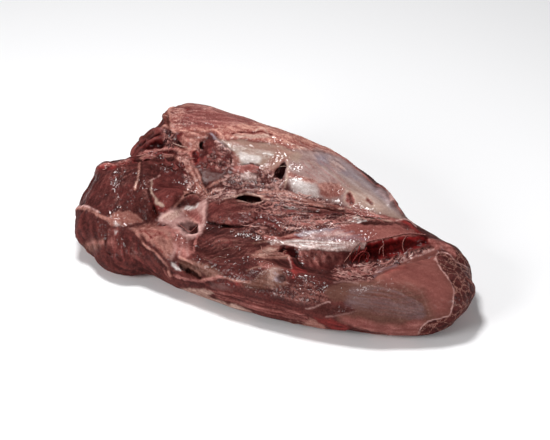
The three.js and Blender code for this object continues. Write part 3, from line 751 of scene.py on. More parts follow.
patch("pale of the floor", "torn pink", 3, 1, (332, 270), (350, 265), (372, 264), (392, 260), (410, 255),
      (432, 249), (424, 254), (408, 261), (392, 268), (378, 274), (370, 280), (350, 281), (338, 277))
swelling("lip of the floor", 4, 2.0, (372, 274), (392, 265), (412, 257), (436, 248), (440, 254), (420, 262),
      (398, 270), (378, 281))
patch("red part of the floor", "bright red", 2, 0.25, (332, 269), (350, 265), (372, 264), (380, 262),
      (400, 256), (400, 259), (380, 268), (368, 278), (350, 280), (336, 276))
shreds("crumbs of the floor", "torn lean", 26, (8, 0.9, 0.0), (14, 35), (332, 270), (372, 264), (405, 255),
      (395, 266), (372, 278), (346, 281), (334, 277))
shreds("pale crumbs of the floor", "torn pink", 8, (8, 0.6, 0.1), (20, 35), (350, 265), (390, 259),
      (432, 248), (410, 260), (380, 273), (356, 282))
patch("white wet part of it", "torn pink", 1.5, 0.6, (376, 267), (388, 264), (396, 260), (394, 265),
      (384, 270), (377, 272))
patch("red fold itself", "bright red", 0.8, 0.85, (285, 251.5), (288, 252), (293, 260), (297, 266),
      (306, 270.5), (304, 273.5), (297, 273.5), (294, 279), (292, 272), (290.5, 264), (286.5, 257))
fold("red fold", "bright red", 2.1, 0.9, (286.5, 252.5), (290, 259), (293.5, 265.5), (299, 269.5),
      (305, 271.5))
fold("foot of the red fold", "bright red", 1.2, 0.3, (292.5, 266), (293, 272), (293.5, 278))
# Painted highlight along the lit left edge of the red fold.
line("pale edge of the red fold", "star", 0.6, 0.5, (287, 255), (290.5, 262), (291.5, 269))
line("dark right of the fold", "deep", 1.0, -0.8, (296, 256), (299, 262), (304, 267))

# Front. The lean of the long front muscles, with a star of gristle at its left, a deep slit under
# that, and worn patches of fat and silverskin.
patch("arms of the star", "star", 2.5, 0.85, (157, 221), (161, 214), (171, 209), (182, 208), (192, 207),
      (199, 203), (204, 200), (207, 204), (206, 214), (204, 226), (201, 233), (195, 238), (190, 238),
      (182, 236), (176, 230), (170, 226), (163, 223))
patch("pink web", "membrane", 3, 0.8, (185, 212), (196, 208), (202, 214), (202, 224), (192, 222))
streak("red of the web", "bright red", 3.0, 0.5, (188, 214), (196, 217), (203, 220))
streak("red under the arm", "membrane", 2.5, 0.7, (160, 226), (170, 229), (178, 232))
streak("red of the smear", "bright red", 1.6, 0.5, (140, 231), (150, 231), (160, 233), (168, 238))
streak("dark of the smear", "dark lean", 2.0, 0.4, (160, 242), (165, 248), (170, 256))
patch("pale arm", "fat", 2, 0.7, (160, 219), (165, 214), (176, 211), (182, 209), (178, 216), (170, 220))
# Painted highlight: whitish glints on the star's membrane.
patch("bright of the star", "pale", 1.3, 0.8, (186, 207), (194, 206), (199, 203), (197, 208), (190, 210),
      (184, 211))
patch("grey hollow", "blue", 2, 0.9, (178, 224), (186, 222), (196, 225), (199, 231), (192, 233), (185, 235),
      (180, 230))
dent("hollow of the star", "blue", 1.5, 1.5, (177, 223), (186, 222), (197, 223), (199, 231), (192, 234),
      (185, 231))
dent("dark of the hollow", "dark lean", 1.0, 1.5, (188, 226), (197, 223.5), (198, 230), (192, 232.5))
string("light line of the hollow", "membrane", 0.35, 0.2, (178, 223.5), (184, 228), (190, 232),
      (197.5, 225.5))
fold("strap of the star", "star", 1.1, 0.3, (206, 200), (204, 208), (204, 218), (201, 229))
line("strands of the web", "blush", 0.7, 0.6, (184, 211), (190, 217), (196, 223))
fold("rim above the star", "blush", 1.3, 0.4, (205, 198), (212, 193), (220, 190))
fold("tail of the star", "membrane", 1.0, 0.3, (197, 236), (195.5, 243), (193.5, 252))
patch("web below the star", "membrane", 2.5, 0.85, (171, 232), (182, 237), (190, 243), (194, 254),
      (184, 258), (176, 252))
fan(streak, "strands below the star", "star", 1.8, 0.35, 3, [(175, 243), (175, 250), (172, 258)],
      [(186, 240), (188, 247), (188, 256)])
slit("notch below the star", 1.5, 3.5, (155, 223), (161, 225), (168, 225))
line("edge of the front lobe", "dark lean", 1.0, -0.8, (202, 236), (207, 231), (214, 228), (224, 227))
patch("wet rim of the front lobe", "beaded lean", 1.5, 0.85, (228, 228), (240, 231), (254, 234), (266, 241),
      (262, 243), (250, 239), (238, 236), (229, 232))
patch("pale specks of the lobe", "dull fat", 1.5, 0.6, (222, 240), (226, 238), (228, 242), (224, 243))
patch("more specks", "dull fat", 1.5, 0.6, (232, 240), (238, 238), (240, 242), (234, 244))
fan(line, "fibres of the front lobe", "red lean", 1.0, 0.35, 6, [(206, 246), (222, 240), (244, 239)],
      [(214, 262), (236, 258), (256, 250)])
fan(streak, "pale fibres of the front lobe", "membrane", 0.7, 0.35, 7, [(200, 244), (222, 236), (250, 240)],
      [(206, 264), (236, 262), (262, 256)])
patch("dark of the front lobe", "dark lean", 4, 0.7, (198, 250), (220, 246), (246, 246), (258, 250),
      (246, 258), (220, 262), (202, 260))
patch("wet of the front lobe", "beaded lean", 4, 0.22, (208, 240), (230, 234), (262, 243), (256, 256),
      (224, 258))
string("thin strand of the lobe", "dull fat", 0.4, 0.2, (203, 259), (210, 260.5), (218, 257), (227, 258))
string("second thin strand", "dull fat", 0.35, 0.2, (222, 250), (229, 248), (236, 249))
patch("fat on the belly", "blush", 1.4, 0.95, (250, 257), (257, 251), (268, 245), (280, 243), (276, 250),
      (279, 254), (288, 253), (292, 259), (280, 259), (264, 258.5))
patch("second fat", "fat", 1.3, 0.7, (255, 255), (264, 249), (276, 247), (272, 254), (262, 257))
line("fork on the belly", "dull fat", 0.8, 0.4, (253, 244), (260, 242.5), (267, 241))
line("second fork", "dull fat", 0.8, 0.4, (245, 271), (254, 268), (263, 267))
patch("rosette of fibres", "membrane", 2, 0.6, (258, 262), (268, 263), (276, 266), (268, 269), (260, 267))
shreds("shreds of the belly", "blush", 20, (9, 0.7, 0.2), (18, 40), (252, 257), (262, 249), (280, 245),
      (290, 255), (278, 266), (262, 266))
patch("silver patch", "dull fat", 3, 0.9, (261, 280), (266, 272), (272, 267), (281, 267), (284, 274),
      (287, 283), (282, 289), (270, 289))
patch("pale of the silver patch", "fat", 3, 0.45, (264, 278), (268, 271), (276, 269), (278, 274),
      (274, 282), (268, 284))
patch("grey of the silver patch", "blue grey", 3, 0.2, (272, 270), (280, 270), (282, 282), (276, 286),
      (272, 280))
dent("hole in the silver patch", "blue", 1.6, 1.8, (278, 278), (281, 275), (285, 275.5), (286, 280),
      (282, 282.5), (279, 281.5))
streak("dark of the hole", "dark lean", 1.3, 0.85, (280.5, 276.5), (284, 277), (284.5, 280))
fan(streak, "fan of the silver patch", "fat", 0.7, 0.35, 5, [(266, 269), (259, 275), (253, 281)],
      [(275, 268), (272, 276), (271, 286)])
patch("fat tail of the patch", "dull fat", 2, 0.85, (238, 285), (252, 281), (262, 274), (268, 272),
      (266, 289), (252, 289))
line("line of fat in front", "blush", 1.1, 0.4, (200, 280.5), (212, 277.5), (222, 277), (236, 281),
      (250, 282))
patch("red below the line", "bright red", 2, 0.5, (222, 281), (238, 282), (246, 287), (232, 287))
patch("grey seam", "blue", 2, 0.6, (210, 282), (222, 285), (232, 290), (222, 290), (212, 287))
patch("grains in front", "beaded lean", 3, 1, (268, 288), (290, 286), (304, 281), (320, 284), (330, 292),
      (328, 300), (316, 304), (300, 302), (286, 299), (274, 297))
fan(line, "fibres of the front", "red lean", 1.0, 0.3, 4, [(224, 292), (262, 302), (300, 308)],
      [(250, 306), (280, 314), (306, 318)])
fan(streak, "pale fibres of the front", "membrane", 0.6, 0.45, 6, [(206, 288), (250, 300), (300, 312)],
      [(220, 298), (262, 311), (310, 322)])
patch("dark lens", "dark lean", 1.5, 0.95, (310, 309), (320, 305), (330, 302.5), (342, 304), (352, 307.5),
      (360, 310.5), (346, 313), (328, 315.5), (318, 314))
slit("fold of the dark lens", 1.0, 2.5, (318, 309.5), (332, 310.5), (347, 309.5))
streak("upper line of the lens", "star", 0.7, 0.6, (306, 309), (316, 306.5), (324, 303), (330, 302))
streak("lower line of the lens", "star", 0.7, 0.45, (326, 316.5), (334, 316), (344, 314.5), (352, 312.5),
      (360, 310.5))
patch("bottom lip", "blush", 1.5, 0.9, (302, 324), (310, 319), (318, 322), (326, 329), (336, 333),
      (318, 332), (306, 328))
patch("red meat at the bottom", "bright red", 1.5, 0.75, (313, 318), (326, 319), (338, 321), (350, 326),
      (352, 331), (338, 331), (330, 327), (320, 323))
fold("tag at the bottom", "dull fat", 1.4, 0.5, (290, 321), (293, 323.5), (298, 322.5))
fold("third tag", "dull fat", 1.0, 0.6, (318, 331), (324, 332.5), (330, 332.5))
fold("tag of the fat strip", "fat", 1.0, 0.6, (222, 306), (228, 309), (232, 311))
fold("tag at the left of the front", "dull fat", 1.0, 0.7, (155, 279), (160, 283), (166, 286.5))
fold("second tag", "dull fat", 1.2, 0.5, (302, 323.5), (307, 326.5))
swelling("hollow of the heel's foot", 3, -2.0, (348, 326), (372, 333), (400, 338), (398, 344), (364, 342),
      (346, 334))
swelling("nick under the heel's tip", 3, -2.5, (456, 324), (466, 312), (470, 318), (462, 332))
patch("fat strip at the bottom", "fat", 1.3, 0.7, (180, 287.5), (196, 289), (210, 290.5), (214, 293),
      (206, 295), (214, 299), (226, 303), (222, 307), (204, 299), (186, 292))
patch("grey fat at the bottom", "fat", 1.5, 0.6, (224, 303), (236, 304), (250, 310), (254, 315), (240, 313),
      (228, 310))
fold("ridge above the deep slit", "pink", 1.7, 0.4, (180, 257.5), (190, 262), (204, 268), (218, 274.5))
patch("strap above the slit", "dull fat", 2, 0.9, (181, 258), (196, 261.5), (210, 266), (223, 274),
      (210, 277.5), (200, 272), (188, 265))
line("bright of the strap", "blush", 0.9, 0.5, (180, 257), (186, 259.5), (193, 263))
fold("lower lip of the slit", "pink", 1.3, 0.4, (174, 275), (188, 280), (202, 281), (213, 278.5),
      (222, 276.5))
fold("lip at the left of the front", "dull fat", 2.0, 0.4, (153, 277), (158, 281.5), (166, 285))
slit("deep slit", 3.0, 3.5, (178, 264), (185, 268), (193, 273), (200, 277.5))
patch("brown wall of the slit", "dull fat", 1.5, 0.9, (178, 261), (188, 263), (198, 269), (202, 276),
      (192, 274), (182, 269))
dent("mouth of the slit", "dull lean", 1.2, 2.0, (179, 266.5), (186, 268), (194, 272), (200.5, 277),
      (199, 279), (192, 278), (184, 274), (179, 269))
streak("dark foot of the slit", "dark lean", 1.3, 0.8, (184, 273), (190, 276.5), (196, 278.5), (201, 278.5))
patch("wet glint of the slit", "pale", 1.4, 0.75, (171.5, 263), (174, 264), (178, 268), (180, 271),
      (176, 270), (173, 267))

# Heel. The round front end, wrapped in silverskin, grey where it is thick and pink where the lean
# shows through, with long curved streaks.
patch("silverskin", "silver", 2, 1, (328, 285), (345, 281.5), (360, 284), (372, 282), (379, 275),
      (391, 267), (410, 261), (425, 256), (436, 250), (437, 256), (440, 266), (450, 279), (454, 293),
      (451, 314), (428, 322), (417, 336), (396, 338), (370, 332), (352, 328), (338, 322), (336, 317),
      (350, 314), (358, 310.5), (352, 306), (344, 301), (334, 301), (328, 297), (325, 290))
patch("pink of the heel", "heel pink", 8, 0.95, (376, 279), (391, 268), (410, 261), (425, 256), (436, 250),
      (440, 266), (450, 279), (454, 293), (451, 314), (436, 318), (430, 306), (424, 292), (406, 286),
      (388, 285))
patch("pink foot of the heel", "heel pink", 4, 0.9, (340, 317), (358, 318), (378, 324), (398, 325),
      (416, 320), (428, 320), (417, 336), (396, 338), (370, 332), (350, 328))
patch("pale foot of the heel", "pink", 4, 0.45, (340, 319), (358, 320), (378, 325), (398, 326), (416, 321),
      (424, 324), (417, 336), (396, 338), (370, 332), (350, 328))
fan(streak, "pale streaks of the heel", "blue grey", 1.6, 0.12, 7, [(352, 287), (388, 291), (424, 307)],
      [(346, 306), (384, 314), (420, 320)])
fan(streak, "dark streaks of the heel", "silver", 1.9, 0.25, 5, [(366, 295), (392, 300), (416, 314)],
      [(356, 312), (380, 318), (400, 321)])
fan(streak, "fine streaks of the heel", "pink", 0.6, 0.25, 9, [(372, 284), (400, 276), (436, 262)],
      [(372, 312), (410, 318), (446, 312)])
fan(streak, "hair lines of the heel", "blue grey", 0.6, 0.18, 7, [(350, 290), (386, 290), (424, 304)],
      [(350, 304), (386, 312), (424, 318)])
fan(streak, "warm lines of the heel", "fat", 0.4, 0.14, 5, [(372, 288), (392, 300), (402, 320)],
      [(404, 280), (420, 292), (428, 312)])
streak("pale upper edge", "star", 0.9, 0.35, (334, 282), (345, 281), (358, 284))
streak("upper edge of the heel", "star", 0.9, 0.5, (378, 273), (386, 268), (396, 264), (410, 259),
      (424, 254), (434, 249))
streak("grey start of the heel", "blue grey", 1.6, 0.4, (374, 277), (384, 271), (396, 267))
streak("red under the upper edge", "bright red", 1.4, 0.35, (386, 274), (396, 270), (406, 268))
patch("pink rim behind the heel", "membrane", 1.8, 0.8, (429, 239), (438, 239), (450, 244), (458, 253),
      (462, 264), (453, 256), (446, 250), (438, 250), (431, 246))
streak("notch of the rim", "dark lean", 1.2, 0.6, (437, 242), (441, 245), (445, 247))
fold("second jag at the heel's tip", "dull lean", 1.2, 0.6, (470, 310), (464, 316), (460, 321))

# Raw end. The cut face round the heel's tip, dark lean crossed by a net of cream marbling, inside
# a thin cream line.
RAW_END = ((437, 257), (441, 253), (449, 254), (456, 260), (456, 250), (463, 252), (475, 268), (478, 290),
           (475, 304), (462, 316), (456, 328), (436, 336), (416, 336), (420, 328), (428, 322),
           (451, 314), (454, 293), (450, 279), (440, 266))
patch("raw end", "lean", 1.0, 1, *RAW_END)
line("boundary of the raw end", "star", 0.55, 0.2, (436, 258), (439, 266), (449, 279), (453.6, 293),
      (450.5, 313), (440, 318), (428, 321.6), (421, 328), (418, 334))
line("top of the raw end", "star", 0.5, 0.2, (435, 260), (437, 255), (443, 252.5), (450, 255), (456, 261),
      (463, 265), (470, 269))

# Meat. One slab, as it lies: a copy of the frame's solid, remeshed and softened, from which the
# folds above are grown and the openings cut, and then worked over grain by grain.
MM = 0.001
PIXEL = 1.11 * MM
COARSE = 1.8 * MM
FINE = 1.3 * MM
SOFTEN_PASSES = 24
SETTLE_PASSES = 7
BLADE_TAPER = 0.5
MOST_FACES = 197000


def only(piece):
    bpy.ops.object.select_all(action="DESELECT")
    piece.select_set(True)
    bpy.context.view_layer.objects.active = piece


def apply_modifier(piece, name, kind, **settings):
    only(piece)
    modifier = piece.modifiers.new(name, kind)
    for key, value in settings.items():
        setattr(modifier, key, value)
    bpy.ops.object.modifier_apply(modifier=name)


def merge_doubles(piece):
    only(piece)
    bpy.ops.object.mode_set(mode="EDIT")
    bpy.ops.mesh.select_all(action="SELECT")
    bpy.ops.mesh.remove_doubles(threshold=0.01 * MM)
    bpy.ops.object.mode_set(mode="OBJECT")


def surface(piece):
    return BVHTree.FromObject(piece, bpy.context.evaluated_depsgraph_get())


def smooth_line(corners, step=1.0):
    """Points a pixel or so apart on a smooth curve through the corners."""
    corners = np.array(corners, float)
    ends = np.vstack([2 * corners[0] - corners[1], corners, 2 * corners[-1] - corners[-2]])
    curve = []
    for before, start, end, after in zip(ends, ends[1:], ends[2:], ends[3:]):
        count = max(2, int(np.linalg.norm(end - start) / step))
        for t in np.linspace(0, 1, count, endpoint=False):
            curve.append(0.5 * (2 * start + (end - before) * t
                                + (2 * before - 5 * start + 4 * end - after) * t ** 2
                                + (3 * start - before - 3 * end + after) * t ** 3))
    return np.array(curve + [corners[-1]])


def strand(name, places, radii, sides=8):
    """A closed tube along places, as thick at each as its radius says."""
    curve = bpy.data.curves.new(name, "CURVE")
    curve.dimensions = "3D"
    curve.bevel_depth = 1
    curve.bevel_resolution = sides // 2 - 2
    curve.use_fill_caps = True
    spline = curve.splines.new("POLY")
    spline.points.add(len(places) - 1)
    for point, place, radius in zip(spline.points, places, radii):
        point.co = (*place, 1)
        point.radius = radius
    piece = bpy.data.objects.new(name, curve)
    bpy.context.scene.collection.objects.link(piece)
    only(piece)
    bpy.ops.object.convert(target="MESH")
    merge_doubles(piece)
    return piece


def on_meat(skin, corners, lift, step=1.0):
    """Places on the meat under a line on the photograph, lifted off it by some metres. Where the
    line runs past the outline it stays as far from the camera as the meat nearest to it."""
    ways = [sight(pixel) for pixel in smooth_line(corners, step)]
    hits = [skin.ray_cast(camera.location, way) for way in ways]
    last = next((hit[3] for hit in hits if hit[0] is not None), DISTANCE)
    places = []
    for way, (place, out, _, reach) in zip(ways, hits):
        if place is None:
            nearest, out, _, _ = skin.find_nearest(camera.location + way * last)
            place = camera.location + way * (nearest - camera.location).length
        else:
            last = reach
        places.append(place + float(lift) * out)
    return places


def spindle_radii(count, radius, ends=0.35):
    along = np.linspace(-1, 1, count)
    return radius * (ends + (1 - ends) * np.sqrt(np.clip(1 - along ** 2, 0, 1)))


meat = bpy.data.objects.new("meat", frame["nodes"]["beef_clod"].data.copy())
bpy.context.scene.collection.objects.link(meat)
meat.data.materials.clear()
merge_doubles(meat)
apply_modifier(meat, "even", "REMESH", mode="VOXEL", voxel_size=COARSE)
apply_modifier(meat, "soften", "SMOOTH", factor=0.5, iterations=SOFTEN_PASSES)

skin = surface(meat)
folds = []
for kind, name, tissue, half, rise, corners in work:
    if kind == "fold":
        places = on_meat(skin, corners, (rise - half / 2) * PIXEL)
        folds.append(strand(name, places, spindle_radii(len(places), half * PIXEL)))
bpy.ops.object.select_all(action="DESELECT")
for piece in folds + [meat]:
    piece.select_set(True)
bpy.context.view_layer.objects.active = meat
bpy.ops.object.join()
apply_modifier(meat, "grow", "REMESH", mode="VOXEL", voxel_size=FINE)
apply_modifier(meat, "settle", "SMOOTH", factor=0.5, iterations=SETTLE_PASSES)
uncut = surface(meat)

knife = bpy.data.collections.new("knife")
bpy.context.scene.collection.children.link(knife)
blades = []
for kind, name, tissue, half, depth, corners in work:
    if kind == "slit":
        mouth = on_meat(skin, corners, 0)
        radii = spindle_radii(len(mouth), half * PIXEL)
        for share in np.linspace(0, 1, max(2, int(depth / half) + 1)):
            blade = strand(name, on_meat(skin, corners, -share * depth * PIXEL),
                           radii * (1 - BLADE_TAPER * share))
            knife.objects.link(blade)
            bpy.context.scene.collection.objects.unlink(blade)
            blades.append(blade)
apply_modifier(meat, "cut", "BOOLEAN", operation="DIFFERENCE", operand_type="COLLECTION",
               collection=knife, solver="MANIFOLD")
for blade in blades:
    bpy.data.objects.remove(blade)
bpy.data.collections.remove(knife)
apply_modifier(meat, "refine", "REMESH", mode="VOXEL", voxel_size=FINE)
apply_modifier(meat, "ease", "SMOOTH", factor=0.5, iterations=1)


def read(source, attribute, width=3):
    values = np.empty(len(source) * width)
    source.foreach_get(attribute, values)
    return values.reshape(-1, width) if width > 1 else values


def thin(points, keep):
    """Thins the mesh at some of its points alone, until a share of their faces is left."""
    group = meat.vertex_groups.new(name="thin")
    group.add([int(i) for i in np.flatnonzero(points)], 1.0, "REPLACE")
    meat.data.calc_loop_triangles()
    corners = np.empty(3 * len(meat.data.loop_triangles), int)
    meat.data.loop_triangles.foreach_get("vertices", corners)
    thinned = np.all(points[corners.reshape(-1, 3)], axis=1).sum()
    faces = len(meat.data.loop_triangles)
    if keep is None:
        keep = 1 - (faces - MOST_FACES) / thinned
    apply_modifier(meat, "thin", "DECIMATE", decimate_type="COLLAPSE",
                   ratio=1 - (1 - keep) * thinned / faces, vertex_group="thin")
    meat.vertex_groups.clear()


# The underside and the sides that the camera doesn't reach need fewer faces than the shown side.
LIES_FLAT = 0.3 * MM
TURNED_AWAY = -0.1
UNDERSIDE_KEEPS = 0.12
BACK_KEEPS = 0.3
thin(read(meat.data.vertices, "co")[:, 2] < LIES_FLAT, UNDERSIDE_KEEPS)
thin((read(meat.data.vertex_normals, "vector") @ np.array(to_camera) < TURNED_AWAY)
     & (read(meat.data.vertices, "co")[:, 2] > LIES_FLAT), BACK_KEEPS)

places = read(meat.data.vertices, "co")
normals = read(meat.data.vertex_normals, "vector")
edges = np.empty(2 * len(meat.data.edges), int)
meat.data.edges.foreach_get("vertices", edges)
edges = edges.reshape(-1, 2)
count = len(places)

# A point shows if the camera's ray to it meets nothing before it. Just past the outline the
# tissues still run on round the edge.
HIDING_STEP = 0.9 * MM
LEAST_SLANT = 0.12
EDGE_SLANT = 0.15
EDGE_REACH = 15 * MM
FARTHEST_SLANT = -0.6
skin = surface(meat)
facing = normals @ np.array(to_camera)
seen = in_photo(places)
shown = np.zeros(count)
for i in np.flatnonzero(facing > FARTHEST_SLANT):
    way = Vector(places[i]) - camera.location
    reach = skin.ray_cast(camera.location, way)[3]
    behind = way.length - reach if reach else 0
    if behind < HIDING_STEP / max(facing[i], LEAST_SLANT):
        shown[i] = 1
    elif facing[i] < EDGE_SLANT:
        shown[i] = max(0, 1 - behind / EDGE_REACH)


def mixed(place, seed):
    """A repeatable random number from 0 to 1 for each whole place."""
    number = place @ np.array([73856093, 19349663, 83492791])[:place.shape[1]] + seed * 2654435
    number = (number ^ (number >> 13)) * 1274126177
    number = (number ^ (number >> 16)) * 1911520717
    return ((number ^ (number >> 15)) & 0xFFFF) / 0xFFFF


def lumps(points, size, seed=0):
    """Smooth random lumps about as far apart as size, from -1 to 1, one value for each point."""
    cell = points / np.asarray(size)
    base = np.floor(cell).astype(np.int64)
    part = cell - base
    ease = part * part * (3 - 2 * part)
    total = np.zeros(len(points))
    for corner in product((0, 1), repeat=points.shape[1]):
        value = 2 * mixed(base + np.array(corner), seed) - 1
        total += value * np.prod(np.where(np.array(corner) == 1, ease, 1 - ease), axis=1)
    return total


def step_in(value, low, high):
    share = np.clip((value - low) / (high - low), 0, 1)
    return share * share * (3 - 2 * share)


def settled(values, rounds):
    """Values averaged with those of the neighbouring points, some rounds over."""
    degree = np.bincount(edges.ravel(), minlength=count)
    for _ in range(rounds):
        columns = []
        for column in np.atleast_2d(values.T):
            total = (np.bincount(edges[:, 0], column[edges[:, 1]], count)
                     + np.bincount(edges[:, 1], column[edges[:, 0]], count))
            columns.append((column + total) / (1 + degree))
        values = np.array(columns).T.reshape(values.shape)
    return values


# The grain. Each muscle's fibres run along a line of its own, and further off they blend.
GRAINS = {
    "long head": ((185, 116), (300, 140)),
    "ridge": ((300, 145), (345, 165)),
    "sheet": ((235, 150), (300, 158)),
    "dome": ((340, 175), (400, 215)),
    "left end": ((140, 168), (86, 205)),
    "lower left": ((108, 228), (112, 262)),
    "corner": ((134, 234), (158, 268)),
    "star": ((200, 208), (178, 224)),
    "below the star": ((178, 236), (186, 262)),
    "front lobe": ((206, 262), (254, 238)),
    "band": ((245, 215), (390, 218)),
    "membrane": ((290, 238), (400, 230)),
    "recess": ((318, 252), (322, 268)),
    "trench": ((395, 240), (396, 256)),
    "front": ((240, 296), (310, 312)),
    "belly": ((250, 266), (320, 284)),
    "heel": ((350, 298), (425, 312)),
    "heel top": ((395, 275), (445, 300)),
    "slit": ((184, 262), (216, 278)),
}
GRAIN_REACH = 24
millimetres = places / MM


def fibre_pattern(width, length, seed):
    """Noise that is drawn out along the grain, width and length being in millimetres."""
    total = np.zeros(count)
    weights = np.full(count, 1e-3)
    total += weights * lumps(millimetres / np.array((length, width, width)), 1, seed)
    power = weights ** 2
    for number, ends in enumerate(GRAINS.values()):
        start, end = (np.array(place) / MM for place in (on_meat(skin, ends, 0, 400)[0],
                                                         on_meat(skin, ends, 0, 400)[-1]))
        along = end - start
        share = np.clip((millimetres - start) @ along / (along @ along), 0, 1)
        far = np.linalg.norm(millimetres - start - share[:, None] * along, axis=1)
        rows = np.flatnonzero(far < 2.5 * GRAIN_REACH)
        grain = along / np.linalg.norm(along)
        drawn_out = millimetres[rows] / width
        drawn_out = drawn_out - (1 - width / length) * (drawn_out @ grain)[:, None] * grain
        weight = np.exp(-(far[rows] / GRAIN_REACH) ** 2)
        total[rows] += weight * lumps(drawn_out, 1, seed + number)
        power[rows] += weight ** 2
    return total / np.sqrt(power)


# The patterns, with the width and length of their lumps in millimetres. They are about twice as
# coarse as real fibres and grains, which would be too fine to show.
strands = np.clip(1 - 2.4 * np.abs(fibre_pattern(4.4, 14, seed=400)), 0, 1)
torn = 0.5 * strands + 0.7 * np.abs(lumps(millimetres, 2.8, seed=22))
fibres = 0.7 * fibre_pattern(3.4, 24, seed=100) + 0.5 * fibre_pattern(6.5, 40, seed=200)
threads = fibre_pattern(2.6, 12, seed=300)
swell = lumps(millimetres, (26, 16, 16), seed=25)
waves = lumps(millimetres, (15, 8, 8), seed=27)

# No tissue has a clean edge. Each one strays by about so many pixels.
FRAY = 1.3
fray = np.stack([lumps(millimetres, 6, 1) + 0.6 * lumps(millimetres, 3, 2),
                 lumps(millimetres, 6, 3) + 0.6 * lumps(millimetres, 3, 4)], axis=1)
drawn = seen + FRAY * fray


def rows_near(outline, reach):
    low, high = outline.min(0) - reach, outline.max(0) + reach
    return np.flatnonzero(np.all((seen > low) & (seen < high), axis=1) & (shown > 0))


def nearest_way(spots, starts, ends):
    """How far each spot is from the nearest of some straight lines."""
    nearest = np.full(len(spots), np.inf)
    for start, end in zip(starts, ends):
        along = end - start
        share = np.clip(((spots - start) @ along) / max(along @ along, 1e-9), 0, 1)
        nearest = np.minimum(nearest, np.linalg.norm(spots - start - share[:, None] * along, axis=1))
    return nearest


def enclosed(spots, outline):
    """Whether each spot lies inside a closed outline: a line across crosses it an odd number of times."""
    crossings = np.zeros(len(spots), int)
    for start, end in zip(outline, np.roll(outline, -1, axis=0)):
        level = (start[1] > spots[:, 1]) != (end[1] > spots[:, 1])
        height = end[1] - start[1] if end[1] != start[1] else 1
        crossing = start[0] + (spots[:, 1] - start[1]) * (end[0] - start[0]) / height
        crossings += level & (spots[:, 0] < crossing)
    return crossings % 2 == 1


def near_line(corners, reach, fraying=0.4):
    """How far each point shows from a line drawn on the photograph, in pixels."""
    curve = smooth_line(corners, 2.0)
    far = np.full(count, np.inf)
    rows = rows_near(curve, reach)
    far[rows] = nearest_way(seen[rows] + fraying * FRAY * fray[rows], curve, curve[1:])
    return far


def inside(corners, soft):
    """How far each point shows inside an outline drawn on the photograph, from 0 to 1."""
    outline = np.array(corners, float)
    rows = rows_near(outline, soft + 4)
    spots = drawn[rows]
    nearest = nearest_way(spots, outline, np.roll(outline, -1, axis=0))
    mask = np.zeros(count)
    mask[rows] = step_in(np.where(enclosed(spots, outline), nearest, -nearest), -soft, soft)
    return mask


# What each point is made of: the colour of its hollows, that of its crests, and then how torn,
# how wet and how fibrous it is.
def stuff(tissue):
    hollow, crest, tears, wetness, fibre = TISSUES[tissue]
    return np.array([*linear(hollow), *linear(crest), tears, wetness, fibre])


made_of = np.tile(stuff("lean"), (count, 1))
relief = np.zeros(count)
calm = np.ones(count)


def lay(mask, tissue):
    """Lays a tissue over the meat where the mask says."""
    rows = np.flatnonzero(mask > 0)
    share = mask[rows, None]
    made_of[rows] = made_of[rows] * (1 - share) + share * stuff(tissue)


# Where the photograph doesn't reach, silverskin, fat and bare lean lie in broad patches, with
# seams of fat between the muscles.
hidden = 1 - shown
cover = lumps(millimetres, (80, 45, 45), seed=11) + 0.5 * lumps(millimetres, (30, 18, 18), seed=12)
other = lumps(millimetres, (60, 40, 40), seed=13) + 0.5 * lumps(millimetres, (22, 12, 12), seed=14)
for pattern, low, high, tissue in ((cover, 0.1, 0.5, "membrane"), (cover, 0.5, 0.8, "heel pink"),
                                   (cover, 0.75, 0.95, "silver"), (-cover, 0.45, 0.65, "mottled fat"),
                                   (-cover, 0.75, 0.85, "blush"), (other, 0.45, 0.7, "dull lean")):
    lay(hidden * step_in(pattern, low, high), tissue)
SEAM_SHARE = 0.4
SEAM_LEVEL = -0.3
SEAM_WIDTH = 0.12
lay(hidden * SEAM_SHARE * (1 - step_in(np.abs(other - SEAM_LEVEL), 0.0, SEAM_WIDTH)), "blush")

# Some strokes lay light rather than tissue: the near-black and darkened reds in clefts, pits and holes are
# painted shade, and the whitish glints and highlights are painted highlights.
# The strokes, in their order. Broken up by the threads, a thin layer lies in shreds.
BREAK_UP = 0.9
breaks = 0.6 * threads + 0.5 * fray[:, 0]
ragged = np.clip(0.85 + 0.9 * breaks, 0.15, 1)
for kind, name, tissue, size, amount, corners in work:
    if kind == "patch":
        mask = shown * inside(corners, size)
        lay(np.clip(mask * (amount + (1 - amount) * BREAK_UP * breaks), 0, 1), tissue)
    elif kind == "dent":
        mask = shown * inside(corners, size)
        lay(mask, tissue)
        relief -= amount * mask
        calm *= 1 - 0.8 * mask
    elif kind == "swelling":
        relief += amount * shown * inside(corners, size)
    elif kind == "streak":
        far = near_line(corners, 3 * size + 3)
        lay(shown * amount * np.exp(-(far / size) ** 2), tissue)
    elif kind == "line":
        far = near_line(corners, 3 * size + 3)
        lay(shown * ragged * (1 - step_in(far, 0.4 * size, 1.6 * size)), tissue)
        relief += shown * ragged * amount * np.exp(-(far / (1.3 * size)) ** 2)
    elif kind == "fold":
        far = near_line(corners, 2 * size + 3, 0.8)
        lay(shown * ragged * (1 - step_in(far, 0.5 * size, 1.5 * size)), tissue)
    elif kind == "slit":
        # Its walls are what lies below the skin as it was before the cut, and they are darkened with
        # painted shade, the near-black deep tissue, the further they lie below it.
        rows = np.flatnonzero(near_line(corners, size + 6) < size + 4)
        sunk = np.zeros(count)
        for i in rows:
            near, out, _, _ = uncut.find_nearest(Vector(places[i]))
            sunk[i] = (near - Vector(places[i])).dot(out)
        # Painted shade: the sunk walls of the slits turn near-black.
        lay(step_in(sunk, 0.5 * MM, 0.5 * amount * PIXEL), "deep")
        calm[rows] *= 0.4

